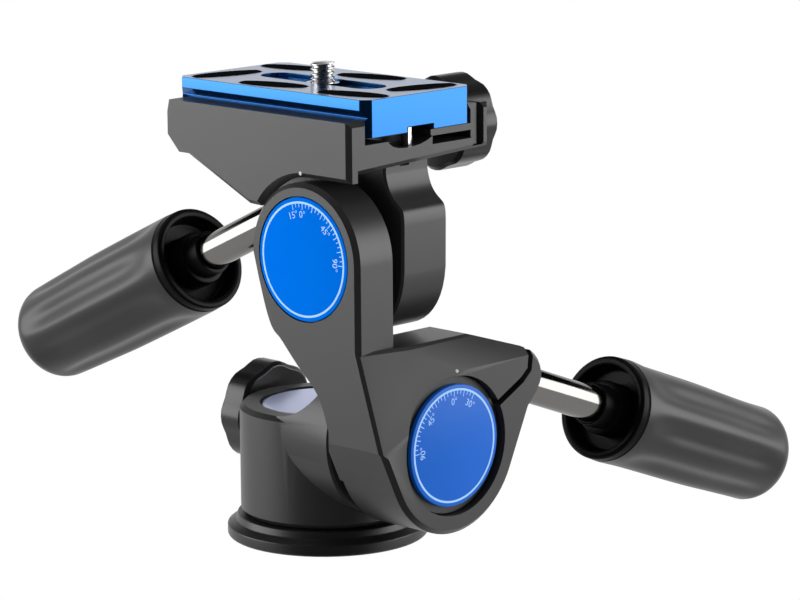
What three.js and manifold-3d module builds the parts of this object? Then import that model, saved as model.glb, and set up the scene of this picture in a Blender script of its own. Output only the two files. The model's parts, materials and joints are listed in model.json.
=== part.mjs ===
import * as THREE from "three";
import { mergeVertices } from "three/addons/utils/BufferGeometryUtils.js";
import Module from "manifold-3d";

// A three way pan and tilt head. Millimetres, +Z up. The origin is the middle of the
// base flange's underside. The head pans about Z. The arm tilts sideways about an axis
// along X, and the platform tilts forwards about an axis along Y.

const wasm = await Module();
wasm.setup();

// Clearances and small shared sizes
const runGap = 0.3;
const cutOver = 1;
const weld = 0.0005;
const edgeBreak = 0.6;
const bodyChamfer = 1.2;
const farReach = 200;

// Base flange, post and tripod thread
const flangeRadius = 26.5;
const rimHeight = 3.1;
const grooveHeight = 4.2;
const grooveRadius = 24.2;
const deckRadius = 23.8;
const deckHeight = 6.1;
const threadRadius = 4.2;
const bushWall = 1.7;
const bushLength = 11.7;
const postRadius = 11.8;
const brakeGrooveDepth = 0.9;
const brakeGrooveWidth = 5.6;
const neckRadius = 6;
const lipThickness = 1.8;
const panWasherRadius = 8.4;
const panWasherThickness = 1;
const panScrewHead = 4.9;
const panScrewHeadHeight = 1.3;
const panScrewShank = 2.7;
const panScrewLength = 12;

// Pan body: drum, crosswise barrel and the journal that the arm turns on
const drumRadius = 22.9;
const drumTop = 35.5;
const discThickness = 0.8;
const discRadius = 17;
const discRim = 1.2;
const discRimThickness = 0.4;
const discRecess = 1.3;
const discReach = 9.2;
const tiltHeight = 30.9;
const barrelRadius = 22.1;
const barrelFace = 23;
const barrelRim = 4;
const filletRadius = 16;
const journalRadius = 17.2;
const frictionWall = 2.8;
const armBack = 26.5;
const armFront = 47.1;
const dialSink = 0.7;
const dialThickness = 1.2;
const dialRadius = 15.8;
const coverThickness = 1.7;
const coverRadius = 17.8;
const tiltScrewHead = 4.2;
const tiltScrewShank = 2.5;
const tiltScrewLength = 14;

// Knobs with broad lobes and shallow scallops between them
const panKnobRadius = 13.9;
const clampKnobRadius = 12.5;
const lobeCount = 8;
const lobeSteps = 6;
const lobeBreadth = 1.5;
const scallopDepth = 0.7;
const knobBevel = 1;
const knobNeck = 6.2;
const knobNeckLength = 0.6;
const panKnobLength = 8.8;
const panKnobHeight = 27.6;
const panKnobOffset = 5;
const knobScrewRadius = 2.9;
const panScrewInset = 6.5;
const clampKnobLength = 12.4;
const clampScrewRadius = 2;
const clampScrewTip = 1.2;

// Arm: a flat upright on the -Y side over a split ring with a shoulder and an ear
const pivotX = 19.2;
const pivotHeight = 79.1;
const armHalf = 19.4;
const armFace = -26.3;
const armInner = -12.7;
const ringRadius = 22.9;
const ringSlant = 25;
const shoulderTop = 57.5;
const slopeStart = 10.5;
const earRoot = 25.8;
const earReach = 33.1;
const earLow = 36.2;
const earTop = 52.6;
const slotWidth = 1.8;
const facetTop = 56.3;
const facetBottom = 36.8;
const facetInset = 2.1;
const facetSweep = 0.22;
const noseX = 41.3;
const noseBottom = 50.2;
const upperDialThickness = 1;
const axleStub = 6;
const axleFlange = 12.9;
const axleRadius = 12;
const axleScrewHead = 7.4;
const axleScrewHeadHeight = 1.9;
const axleScrewShank = 2.9;
const axleScrewLength = 14;
const axleWasherRadius = 15;
const axleWasherThickness = 1.5;
const endScrewHead = 5.4;
const endScrewHeadHeight = 3;
const endScrewLength = 12;

// Platform: split lug, floor, side skirt with the fixed jaw, and the cheek. A rise is
// measured up from the front tilt axis.
const lugNear = -8.9;
const lugFar = 7.2;
const lugHalf = 18.2;
const lugDepth = 20.8;
const lugRoundness = 2.4;
const lugShoulderRise = 11.9;
const lugNeckHalf = 11.8;
const platformFront = 35;
const platformBack = -33.2;
const skirtFace = -25.3;
const skirtWall = 4.3;
const skirtClearRadius = 20.6;
const skirtLowRise = 11.7;
const skirtTip = -2.1;
const skirtFrontRise = 20.6;
const skirtHeelRise = 23.9;
const skirtHeelInset = 4;
const floorLowRise = 22.4;
const floorSlope = 2.3;
const floorTopRise = 29.8;
const tongueFloorRise = 27.4;
const jawTopRise = 35.8;
const cheekOuter = 25.6;
const cheekWall = 2.4;
const cheekTopRise = 36;
const notchNear = -11.4;
const notchFar = 4.6;
const notchFloorRise = 27.6;
const notchDepth = 8;
const heelLean = 2;
const tongueNear = 5;
const tongueLength = 10;
const jawWall = 2.1;
const jawLowRise = 25.5;
const tongueThickness = 1.7;
const clampX = 13.6;
const clampRise = 28.1;
const guideX = 20.5;
const guideRise = 27.9;
const guideRadius = 1.2;
const guideLength = 11;
const safetyX = 31.6;
const safetyY = -1.7;
const safetyRadius = 1.5;
const safetyLowRise = 24.1;
const safetyTopRise = 32.5;
const safetyTravel = 1.5;
const bossReach = 6.5;

// Quick release plate, its pads and the camera screw
const plateLength = 70;
const plateWidth = 38.6;
const plateTopRise = 40.9;
const plateThickness = 9.6;
const plateCorner = 2.2;
const slabThickness = 2.8;
const dovetailNeck = 1.5;
const neckDrop = 4.6;
const lipDrop = 6.5;
const bottomGrooveNear = -4.5;
const bottomGrooveFar = 4.9;
const bottomGrooveDepth = 1.4;
const slotHalfLength = 20;
const slotHalfWidth = 3.6;
const slotStep = 1.2;
const slotStepDepth = 1.4;
const headPocketHalf = 8.3;
const headPocketDepth = 5.4;
const padLength = 19.5;
const padWidth = 6.6;
const padTip = 1;
const padDepth = 1.1;
const padProud = 0.25;
const cameraScrewRadius = 3.175;
const cameraPitch = 1.27;
const cameraThreadDepth = 0.55;
const cameraScrewTop = 4.8;
const cameraHeadRadius = 7.9;
const cameraHeadHeight = 3.1;
const coinSlotWidth = 1.6;
const coinSlotDepth = 1.2;
const clipWidth = 1.3;
const clipThickness = 0.7;

// Handles: steel stem, collar and fluted rubber grip
const stemRadius = 4.75;
const threadedRadius = 3;
const threadedLength = 24;
const stemEmbed = 30;
const gripRadius = 14.3;
const gripLength = 72;
const gripCupRadius = 11.4;
const gripCupDepth = 5;
const gripEndRound = 6.5;
const fluteCount = 8;
const fluteDepth = 1.1;
const collarRadius = 7.4;
const collarProud = 1;
const collarNose = 5.9;
const collarNoseLength = 4.5;
const lowerDip = 20.8;
const lowerX = 36.4;
const lowerStart = 32.5;
const lowerAxisY = 43.5;
const lowerAxisHeight = 37;
const lowerStemLength = 37.7;
const upperDip = 25.3;
const upperY = -0.5;
const upperAxisX = -26.5;
const upperAxisDrop = 1.6;
const upperStart = -6.8;
const upperStemLength = 45.1;

// Smoothness of round pieces
const roundSides = 56;
const smallSides = 16;
const fluteSides = 4;

const black = new THREE.MeshStandardMaterial({ color: 0x17171a, roughness: 0.45, metalness: 0.25 });
const rubber = new THREE.MeshStandardMaterial({ color: 0x141414, roughness: 0.75, metalness: 0 });
const plastic = new THREE.MeshStandardMaterial({ color: 0x101012, roughness: 0.5, metalness: 0 });
const steel = new THREE.MeshStandardMaterial({ color: 0xb4b4b2, roughness: 0.25, metalness: 1 });
const darkSteel = new THREE.MeshStandardMaterial({ color: 0x5a5a5e, roughness: 0.2, metalness: 1 });
const brass = new THREE.MeshStandardMaterial({ color: 0xb08d4a, roughness: 0.35, metalness: 1 });
const blue = new THREE.MeshStandardMaterial({ color: 0x0a62d8, roughness: 0.35, metalness: 0.4 });
const plateBlue = new THREE.MeshStandardMaterial({ color: 0x1f8df0, roughness: 0.3, metalness: 0.6 });

const xAxis = new THREE.Vector3(1, 0, 0);
const yAxis = new THREE.Vector3(0, 1, 0);
const zAxis = new THREE.Vector3(0, 0, 1);
const degrees = (angle) => THREE.MathUtils.degToRad(angle);

// A closed geometry as a solid, with its faces turned outwards
function solidOf(geometry) {
  const bare = new THREE.BufferGeometry();
  bare.setAttribute("position", geometry.getAttribute("position"));
  if (geometry.index) {
    bare.setIndex(geometry.index);
  }
  const merged = mergeVertices(bare, weld);
  const places = merged.getAttribute("position").array;
  const source = merged.index.array;
  const corner = (i) => new THREE.Vector3().fromArray(places, i * 3);
  const kept = [];
  let volume = 0;
  for (let i = 0; i < source.length; i += 3) {
    const [a, b, c] = [source[i], source[i + 1], source[i + 2]];
    if (a !== b && b !== c && a !== c) {
      kept.push([a, b, c]);
      volume += corner(a).dot(corner(b).cross(corner(c)));
    }
  }
  const triVerts = new Uint32Array(kept.flatMap(([a, b, c]) => (volume < 0 ? [a, c, b] : [a, b, c])));
  const mesh = new wasm.Mesh({ numProp: 3, vertProperties: new Float32Array(places), triVerts });
  return new wasm.Manifold(mesh);
}

const frames = {
  x: new THREE.Matrix4().makeBasis(yAxis, zAxis, xAxis),
  y: new THREE.Matrix4().makeBasis(zAxis, xAxis, yAxis),
  z: new THREE.Matrix4(),
};

// A turned solid about X, Y or Z, its profile given as radius and place along the axis
function turned(profile, axis, centre, sides = roundSides) {
  const points = profile.map(([radius, along]) => new THREE.Vector2(radius, along));
  const geometry = new THREE.LatheGeometry(points, sides);
  geometry.rotateX(Math.PI / 2);
  geometry.applyMatrix4(frames[axis]);
  geometry.translate(centre[0], centre[1], centre[2]);
  return solidOf(geometry);
}

function rod(radius, from, to, axis, centre, sides = roundSides, bevel = 0) {
  const profile = [[0, from], [radius - bevel, from], [radius, from + bevel], [radius, to - bevel],
    [radius - bevel, to], [0, to]];
  return turned(profile, axis, centre, sides);
}

function tube(inner, outer, from, to, axis, centre, sides = roundSides) {
  const profile = [[inner, from], [outer, from], [outer, to], [inner, to], [inner, from]];
  return turned(profile, axis, centre, sides);
}

// An outline pushed along an axis: (y, z) along X, (x, z) along Y or (x, y) along Z
function prism(outline, from, to, axis, bevel = 0) {
  const shape = new THREE.Shape(outline.map(([u, v]) => new THREE.Vector2(u, v)));
  const geometry = new THREE.ExtrudeGeometry(shape, {
    depth: to - from - 2 * bevel,
    bevelEnabled: bevel > 0,
    bevelThickness: bevel,
    bevelSize: bevel,
    bevelOffset: -bevel,
    bevelSegments: 1,
    curveSegments: 1,
  });
  geometry.translate(0, 0, bevel);
  if (axis === "x") {
    geometry.applyMatrix4(frames.x);
    geometry.translate(from, 0, 0);
  } else if (axis === "y") {
    geometry.rotateX(Math.PI / 2);
    geometry.translate(0, to, 0);
  } else {
    geometry.translate(0, 0, from);
  }
  return solidOf(geometry);
}

function block(x0, x1, y0, y1, z0, z1) {
  const geometry = new THREE.BoxGeometry(x1 - x0, y1 - y0, z1 - z0);
  geometry.translate((x0 + x1) / 2, (y0 + y1) / 2, (z0 + z1) / 2);
  return solidOf(geometry);
}

// Everything on the far side of a plane
function beyond(point, normal) {
  const geometry = new THREE.BoxGeometry(farReach, farReach, farReach);
  geometry.translate(0, 0, farReach / 2);
  const turn = new THREE.Quaternion().setFromUnitVectors(zAxis, normal.clone().normalize());
  geometry.applyQuaternion(turn);
  geometry.translate(point.x, point.y, point.z);
  return solidOf(geometry);
}

// A flat cut of the given width along the edge where two faces meet
function chamferCut(onEdge, first, second, width) {
  const normal = first.clone().normalize().add(second.clone().normalize());
  const half = normal.length() / 2;
  normal.normalize();
  const depth = (width / 2) * Math.sqrt(1 - half * half) / half;
  return beyond(onEdge.clone().addScaledVector(normal, -depth), normal);
}

// Points along a circle, angles in degrees from the first axis
function arc(u, v, radius, start, end, steps) {
  const points = [];
  for (let i = 0; i <= steps; i += 1) {
    const angle = degrees(start + ((end - start) * i) / steps);
    points.push([u + radius * Math.cos(angle), v + radius * Math.sin(angle)]);
  }
  return points;
}

// A bent strip of even width, as an outline
function strip(path, width) {
  const left = [];
  const right = [];
  path.forEach(([u, v], i) => {
    const before = path[Math.max(i - 1, 0)];
    const after = path[Math.min(i + 1, path.length - 1)];
    const along = new THREE.Vector2(after[0] - before[0], after[1] - before[1]).normalize();
    left.push([u - (along.y * width) / 2, v + (along.x * width) / 2]);
    right.unshift([u + (along.y * width) / 2, v - (along.x * width) / 2]);
  });
  return [...left, ...right];
}

// A leaf shape with blunt tips, wide in the middle
function leaf(halfLength, halfWidth, tip, x, y, turn) {
  const side = [-1, -0.95, -0.8, -0.55, -0.28, 0, 0.28, 0.55, 0.8, 0.95, 1].map((u) => [u * halfLength,
    tip + (halfWidth - tip) * (1 - u * u) ** 0.7]);
  const points = [...side.map(([u, v]) => [u, -v]), ...side.reverse()];
  const spin = degrees(turn);
  return points.map(([u, v]) => [x + u * Math.cos(spin) - v * Math.sin(spin),
    y + u * Math.sin(spin) + v * Math.cos(spin)]);
}

// A slot with round ends, as an outline about its own middle
function stadium(halfLength, halfWidth, x, y, turn) {
  const straight = halfLength - halfWidth;
  const points = [...arc(straight, 0, halfWidth, -90, 90, 8), ...arc(-straight, 0, halfWidth, 90, 270, 8)];
  const spin = degrees(turn);
  return points.map(([u, v]) => [x + u * Math.cos(spin) - v * Math.sin(spin),
    y + u * Math.sin(spin) + v * Math.cos(spin)]);
}

const head = new THREE.Group();

function add(name, solid, material, parent = head) {
  const source = solid.getMesh();
  const geometry = new THREE.BufferGeometry();
  geometry.setAttribute("position", new THREE.BufferAttribute(new Float32Array(source.vertProperties), 3));
  geometry.setIndex(new THREE.BufferAttribute(new Uint32Array(source.triVerts), 1));
  const mesh = new THREE.Mesh(geometry, material);
  mesh.name = name;
  parent.add(mesh);
  return mesh;
}

const middle = [0, 0, 0];
const tiltCentre = [0, 0, tiltHeight];
const pivotCentre = [pivotX, 0, pivotHeight];

// Base flange: rim, groove, deck, and the post with its brake groove
const bushRadius = threadRadius + bushWall;
const bushHole = bushRadius + runGap;
const bushTop = runGap + bushLength;
const lipTop = drumTop - discRecess - panWasherThickness - panScrewHeadHeight - 3 * runGap;
const lipBottom = lipTop - lipThickness;
const postTop = lipBottom - runGap;
const neckTop = lipTop;
const panWasherLow = neckTop + runGap;
const panHeadLow = panWasherLow + panWasherThickness + runGap;
const panHole = panScrewShank + runGap;
const panHoleLow = panHeadLow - panScrewLength - runGap;
const brakeLow = panKnobHeight - brakeGrooveWidth / 2;
const brakeHigh = Math.min(panKnobHeight + brakeGrooveWidth / 2, postTop - edgeBreak);
const brakeFloor = postRadius - brakeGrooveDepth;
const flange = turned([
  [0, bushTop + runGap], [bushHole, bushTop + runGap], [bushHole, 0],
  [flangeRadius - edgeBreak, 0], [flangeRadius, edgeBreak], [flangeRadius, rimHeight],
  [grooveRadius, grooveHeight], [deckRadius, deckHeight], [postRadius, deckHeight],
  [postRadius, brakeLow], [brakeFloor, brakeLow + brakeGrooveDepth],
  [brakeFloor, brakeHigh - brakeGrooveDepth], [postRadius, brakeHigh],
  [postRadius, postTop], [neckRadius, postTop], [neckRadius, neckTop], [panHole, neckTop],
  [panHole, panHoleLow], [0, panHoleLow],
], "z", middle);
add("base_flange", flange, black);
add("base_thread_bush", tube(threadRadius, bushRadius, runGap, bushTop, "z", middle, smallSides), brass);
add("pan_retaining_washer", tube(panHole, panWasherRadius, panWasherLow,
  panWasherLow + panWasherThickness, "z", middle, smallSides), steel);
add("pan_retaining_screw", turned([
  [0, panHeadLow - panScrewLength], [panScrewShank, panHeadLow - panScrewLength],
  [panScrewShank, panHeadLow], [panScrewHead, panHeadLow],
  [panScrewHead, panHeadLow + panScrewHeadHeight - runGap],
  [panScrewHead - runGap, panHeadLow + panScrewHeadHeight], [0, panHeadLow + panScrewHeadHeight],
], "z", middle, smallSides), steel);

// Pan body
const drumLow = deckHeight + runGap;
const filletX = barrelFace - barrelRim - filletRadius;
const filletZ = drumTop + filletRadius;
const journalEnd = armFront - dialSink - dialThickness - 2 * runGap - coverThickness;
const coverLow = journalEnd + runGap;
const coverHigh = coverLow + coverThickness;
const knobTurn = new THREE.Quaternion().setFromUnitVectors(zAxis, xAxis.clone().negate());
const panKnobHole = knobScrewRadius + runGap;
const panKnobCentre = [0, panKnobOffset, panKnobHeight];
const postSide = Math.sqrt((postRadius + runGap) ** 2 - Math.max(panKnobOffset - knobScrewRadius, 0) ** 2);
const drumSide = Math.sqrt(drumRadius ** 2 - Math.max(panKnobOffset - knobNeck, 0) ** 2);

const discPocketRadius = discRadius + 2 * runGap;
const postBore = postRadius + runGap;
const drum = rod(drumRadius, drumLow, drumTop, "z", middle, roundSides, bodyChamfer);
const barrel = rod(barrelRadius, filletX, barrelFace, "x", tiltCentre, roundSides, edgeBreak)
  .subtract(rod(filletRadius, -farReach / 2, farReach / 2, "y", [filletX, 0, filletZ]));
const discFloor = drumTop - discRecess;
const discPocket = rod(discPocketRadius, discFloor, filletZ, "z", middle)
  .intersect(block(-farReach, discReach, -farReach, farReach, 0, farReach));
let panBody = drum
  .add(barrel)
  .add(rod(journalRadius, barrelFace - barrelRim, journalEnd, "x", tiltCentre, roundSides, edgeBreak))
  .subtract(rod(postBore, 0, lipBottom, "z", middle))
  .subtract(rod(neckRadius + runGap, 0, lipTop + cutOver / 2, "z", middle))
  .subtract(rod(panWasherRadius + runGap, lipTop, filletZ, "z", middle)
    .intersect(block(-farReach, discReach, -farReach, farReach, 0, farReach)))
  .subtract(discPocket)
  .subtract(rod(panKnobHole, -drumRadius - cutOver, cutOver - postSide, "x", panKnobCentre, smallSides))
  .subtract(rod(tiltScrewShank + runGap, coverHigh - tiltScrewLength - runGap, journalEnd + cutOver,
    "x", tiltCentre, smallSides));
add("pan_body", panBody, black);
const discLow = drumTop - discRecess + runGap;
const panDisc = turned([[0, discLow], [discRadius, discLow], [discRadius, discLow + discRimThickness],
  [discRadius - discRim, discLow + discThickness], [0, discLow + discThickness]], "z", middle)
  .intersect(block(-farReach, discReach - runGap, -farReach, farReach, 0, farReach));
add("pan_top_disc", panDisc, blue);
const brakeEnd = drumSide - panScrewInset;
add("pan_brake_pad", rod(knobScrewRadius, runGap - brakeEnd, -postSide, "x", panKnobCentre, smallSides),
  plastic);
add("tilt_friction_washer", tube(journalRadius + runGap, journalRadius + runGap + frictionWall,
  barrelFace + runGap, armBack - runGap, "x", tiltCentre), plastic);
const screwCone = coverThickness;
const cover = rod(coverRadius, coverLow, coverHigh, "x", tiltCentre).subtract(turned([
  [0, coverLow - cutOver], [tiltScrewShank + runGap, coverLow - cutOver],
  [tiltScrewShank + runGap, coverLow], [tiltScrewHead + runGap, coverHigh],
  [tiltScrewHead + runGap, coverHigh + cutOver], [0, coverHigh + cutOver],
], "x", tiltCentre, smallSides));
add("tilt_retaining_plate", cover, black);
add("tilt_retaining_screw", turned([
  [0, coverHigh - tiltScrewLength], [tiltScrewShank, coverHigh - tiltScrewLength],
  [tiltScrewShank, coverHigh - screwCone], [tiltScrewHead, coverHigh], [0, coverHigh],
], "x", tiltCentre, smallSides), steel);
add("lower_dial", rod(dialRadius, coverHigh + runGap, coverHigh + runGap + dialThickness, "x", tiltCentre,
  roundSides, runGap), blue);

// A knob with broad lobes about +Z from its neck outwards, with a blind hole for its screw
function lobedKnob(knobRadius, length, hole, holeDepth) {
  const outline = [];
  const steps = lobeCount * lobeSteps;
  for (let i = 0; i < steps; i += 1) {
    const angle = degrees((i * 360) / steps);
    const hollow = ((1 - Math.cos(angle * lobeCount)) / 2) ** lobeBreadth;
    const radius = knobRadius - scallopDepth * hollow;
    outline.push([radius * Math.cos(angle), radius * Math.sin(angle)]);
  }
  return prism(outline, knobNeckLength, knobNeckLength + length, "z", knobBevel)
    .add(rod(knobNeck, 0, knobNeckLength + knobBevel, "z", middle, smallSides))
    .subtract(rod(hole, -cutOver, holeDepth, "z", middle, smallSides));
}

const panKnobStart = drumSide + runGap;
const panKnob = new THREE.Group();
panKnob.position.set(-panKnobStart, panKnobOffset, panKnobHeight);
panKnob.quaternion.copy(knobTurn);
head.add(panKnob);
const screwHold = panKnobLength - knobBevel;
add("pan_lock_screw", rod(knobScrewRadius, brakeEnd - panKnobStart, screwHold - runGap, "z", middle,
  smallSides, edgeBreak), steel, panKnob);
add("pan_lock_knob", lobedKnob(panKnobRadius, panKnobLength, panKnobHole, screwHold), plastic, panKnob);

// Arm outlines. The upright's back edge is given in shares of its half width and of the
// height between the two tilt axes.
const span = pivotHeight - tiltHeight;
const backEdgeShares = [[-0.892, 0.844], [-0.763, 0.685], [-0.644, 0.589], [-0.5, 0.544], [-0.222, 0.432],
  [0.191, 0.278]];
const uprightFootShare = 0.1;
const backEdgeSteps = 22;
const slant = degrees(ringSlant);
const faceMeet = tiltHeight - ringRadius * Math.sin(slant)
  + (-armFace - ringRadius * Math.cos(slant)) / Math.tan(slant);
const footHeight = tiltHeight - ringRadius * Math.sin(slant) + bodyChamfer;
const slantPoint = new THREE.Vector3(0, armFace, faceMeet);
const slantNormal = new THREE.Vector3(0, -Math.cos(slant), -Math.sin(slant));
const backEdge = new THREE.SplineCurve([
  new THREE.Vector2(pivotX - armHalf, pivotHeight),
  ...backEdgeShares.map(([u, v]) => new THREE.Vector2(pivotX + u * armHalf, tiltHeight + v * span)),
  new THREE.Vector2(armBack, tiltHeight + uprightFootShare * span),
]).getPoints(backEdgeSteps);
const upright = prism([
  ...arc(pivotX, pivotHeight, armHalf, 0, 180, 30).slice(0, -1),
  ...backEdge.map((point) => [point.x, point.y]),
  [armBack, footHeight], [pivotX + armHalf, footHeight],
], armFace, armInner, "y", bodyChamfer)
  .subtract(beyond(slantPoint, slantNormal));

const tangent = (side, height) => {
  const touchY = ringRadius * Math.cos(slant);
  const touchZ = tiltHeight - ringRadius * Math.sin(slant);
  return side * (touchY + (height - touchZ) * Math.tan(slant));
};
const earShares = [[0.45, 0.08], [0.7, 0.2], [0.89, 0.33], [0.98, 0.43], [1, 0.52], [0.95, 0.62], [0.82, 0.74],
  [0.64, 0.83], [0.42, 0.91], [0, 1]];
const lowerOutline = [
  [armFace, shoulderTop], [armFace, faceMeet],
  ...arc(0, tiltHeight, ringRadius, 180 + ringSlant, 360 - ringSlant, 26),
  [tangent(1, earLow), earLow],
  ...earShares.map(([u, v]) => [earRoot + u * (earReach - earRoot), earLow + v * (earTop - earLow)]),
  [slopeStart, shoulderTop],
];
const facetNormal = new THREE.Vector3(1, -facetSweep,
  (armFront - facetInset - pivotX - armHalf) / (facetTop - facetBottom));
const facetPoint = new THREE.Vector3(armFront - facetInset, armFace, facetBottom);
const facetTopX = facetPoint.x - facetNormal.z * (shoulderTop - facetBottom);
const facetTopPoint = new THREE.Vector3(facetTopX, armFace, shoulderTop);
const nosePoint = new THREE.Vector3(noseX, 0, shoulderTop);
const noseNormal = new THREE.Vector3(1, 0, (armFront - noseX) / (shoulderTop - noseBottom));
let ring = prism(lowerOutline, armBack, armFront, "x", bodyChamfer)
  .subtract(beyond(facetPoint, facetNormal))
  .subtract(beyond(nosePoint, noseNormal))
  .subtract(chamferCut(nosePoint, noseNormal, zAxis, bodyChamfer))
  .subtract(chamferCut(facetPoint, facetNormal, yAxis.clone().negate(), bodyChamfer))
  .subtract(chamferCut(facetTopPoint, facetNormal, zAxis, bodyChamfer));

const armBore = journalRadius + runGap;
const dialBore = coverRadius + runGap;
const slotShares = [[0.6, 0.33], [0.76, 0.41], [1.07, 0.573], [1.195, 0.677], [1.216, 0.84], [1.216, 1.1]];
const armSlot = prism(strip(slotShares.map(([u, v]) => [u * ringRadius, tiltHeight + v * ringRadius]),
  slotWidth), 0, armFront + cutOver, "x");

// The handle's hole in its clamp, along the handle's own axis
function handleBar(radius, from, to, place) {
  const points = [[0, from], [radius, from], [radius, to], [0, to]].map(([r, h]) => new THREE.Vector2(r, h));
  const geometry = new THREE.LatheGeometry(points, smallSides);
  geometry.rotateX(Math.PI / 2);
  geometry.applyQuaternion(place.turn);
  geometry.translate(place.start.x, place.start.y, place.start.z);
  return solidOf(geometry);
}

const lowerDown = degrees(lowerDip);
const lowerAway = new THREE.Vector3(0, Math.cos(lowerDown), -Math.sin(lowerDown));
const lowerPlace = {
  start: new THREE.Vector3(lowerX, lowerStart,
    lowerAxisHeight + (lowerAxisY - lowerStart) * Math.tan(lowerDown)),
  turn: new THREE.Quaternion().setFromUnitVectors(zAxis, lowerAway),
};
const upperDown = degrees(upperDip);
const upperAway = new THREE.Vector3(-Math.cos(upperDown), 0, -Math.sin(upperDown));
const upperPlace = {
  start: new THREE.Vector3(upperStart, upperY,
    pivotHeight - upperAxisDrop + (upperStart - upperAxisX) * Math.tan(upperDown)),
  turn: new THREE.Quaternion().setFromUnitVectors(zAxis, upperAway),
};
const threadHole = threadedRadius + runGap;
const dialRecess = upperDialThickness + runGap;
const screwLedge = armFace + dialRecess + runGap + axleScrewHeadHeight + runGap;
const arm = upright
  .add(ring)
  .subtract(rod(barrelRadius + runGap, -farReach, armBack, "x", tiltCentre))
  .subtract(rod(armBore, 0, armFront + cutOver, "x", tiltCentre))
  .subtract(rod(dialBore, coverLow - runGap, armFront + cutOver, "x", tiltCentre))
  .subtract(armSlot)
  .subtract(handleBar(threadHole, -threadedLength - runGap, cutOver, lowerPlace))
  .subtract(rod(dialRadius + runGap, armFace - cutOver, armFace + dialRecess, "y", pivotCentre))
  .subtract(rod(axleScrewHead + runGap, armFace, screwLedge, "y", pivotCentre, smallSides))
  .subtract(rod(axleStub + runGap, armFace, armInner + cutOver, "y", pivotCentre, smallSides));
add("arm", arm, black);
add("upper_dial", rod(dialRadius, armFace, armFace + upperDialThickness, "y", pivotCentre, roundSides, runGap),
  blue);

// Front tilt axle: stub in the arm, flange against it, journal through the lug
const axleNear = armInner + runGap;
const axleEnd = lugFar + runGap;
const axle = turned([
  [0, screwLedge + runGap], [axleStub, screwLedge + runGap], [axleStub, axleNear], [axleFlange, axleNear],
  [axleFlange, lugNear - runGap], [axleRadius, lugNear - runGap], [axleRadius, axleEnd], [0, axleEnd],
], "y", pivotCentre)
  .subtract(rod(axleScrewShank + runGap, armFace, screwLedge - runGap + axleScrewLength, "y", pivotCentre,
    smallSides))
  .subtract(rod(axleScrewShank + runGap, axleEnd - endScrewLength, axleEnd + cutOver, "y", pivotCentre,
    smallSides));
add("front_tilt_axle", axle, black);
const axleHeadHigh = screwLedge - runGap;
add("front_tilt_axle_screw", turned([
  [0, axleHeadHigh - axleScrewHeadHeight], [axleScrewHead, axleHeadHigh - axleScrewHeadHeight],
  [axleScrewHead, axleHeadHigh], [axleScrewShank, axleHeadHigh],
  [axleScrewShank, axleHeadHigh + axleScrewLength - 2 * runGap],
  [0, axleHeadHigh + axleScrewLength - 2 * runGap],
], "y", pivotCentre, smallSides), steel);
const washerNear = axleEnd + runGap;
add("front_tilt_washer", tube(axleScrewShank + runGap, axleWasherRadius, washerNear,
  washerNear + axleWasherThickness, "y", pivotCentre), steel);
const endHead = washerNear + axleWasherThickness + runGap;
add("front_tilt_end_screw", turned([
  [0, axleEnd - endScrewLength + runGap], [axleScrewShank, axleEnd - endScrewLength + runGap],
  [axleScrewShank, endHead], [endScrewHead, endHead],
  [endScrewHead, endHead + endScrewHeadHeight - edgeBreak],
  [endScrewHead - edgeBreak, endHead + endScrewHeadHeight], [0, endHead + endScrewHeadHeight],
], "y", pivotCentre, smallSides), darkSteel);

// Handles, built along +Z from the clamp outwards
function gripSolid() {
  const nearFace = 0;
  const rimShares = [[0.955, 0], [0.992, 0.009], [0.997, 0.03], [0.968, 0.034], [0.968, 0.041], [1, 0.045],
    [1.005, 0.1], [1.008, 0.16], [1.012, 0.4], [1, 0.66], [0.98, 0.78], [0.96, 0.86]];
  const profile = [[0, gripCupDepth + stemEmbed], [stemRadius + runGap, gripCupDepth + stemEmbed],
    [stemRadius + runGap, gripCupDepth], [gripCupRadius, gripCupDepth], [gripCupRadius + edgeBreak, nearFace]];
  rimShares.forEach(([u, v]) => profile.push([u * gripRadius, v * gripLength]));
  const endRadius = rimShares[rimShares.length - 1][0] * gripRadius;
  const endStart = gripLength - gripEndRound;
  profile.push([endRadius * 0.995, endStart]);
  arc(endRadius - gripEndRound, endStart, gripEndRound, 22, 90, 4).forEach((point) => profile.push(point));
  profile.push([0, gripLength]);
  const points = profile.map(([radius, along]) => new THREE.Vector2(radius, along));
  const geometry = new THREE.LatheGeometry(points, fluteCount * fluteSides);
  const place = geometry.getAttribute("position");
  for (let i = 0; i < place.count; i += 1) {
    const [x, along, z] = [place.getX(i), place.getY(i), place.getZ(i)];
    const radius = Math.hypot(x, z);
    const share = along / gripLength;
    const window = Math.sin(Math.PI * THREE.MathUtils.clamp((share - 0.07) / 0.8, 0, 1)) ** 0.4;
    if (radius > gripCupRadius + edgeBreak && window > 0) {
      const ripple = (1 - Math.cos(Math.atan2(z, x) * fluteCount)) / 2;
      const scale = 1 - (fluteDepth * window * ripple) / radius;
      place.setX(i, x * scale);
      place.setZ(i, z * scale);
    }
  }
  geometry.rotateX(Math.PI / 2);
  return solidOf(geometry);
}

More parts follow.
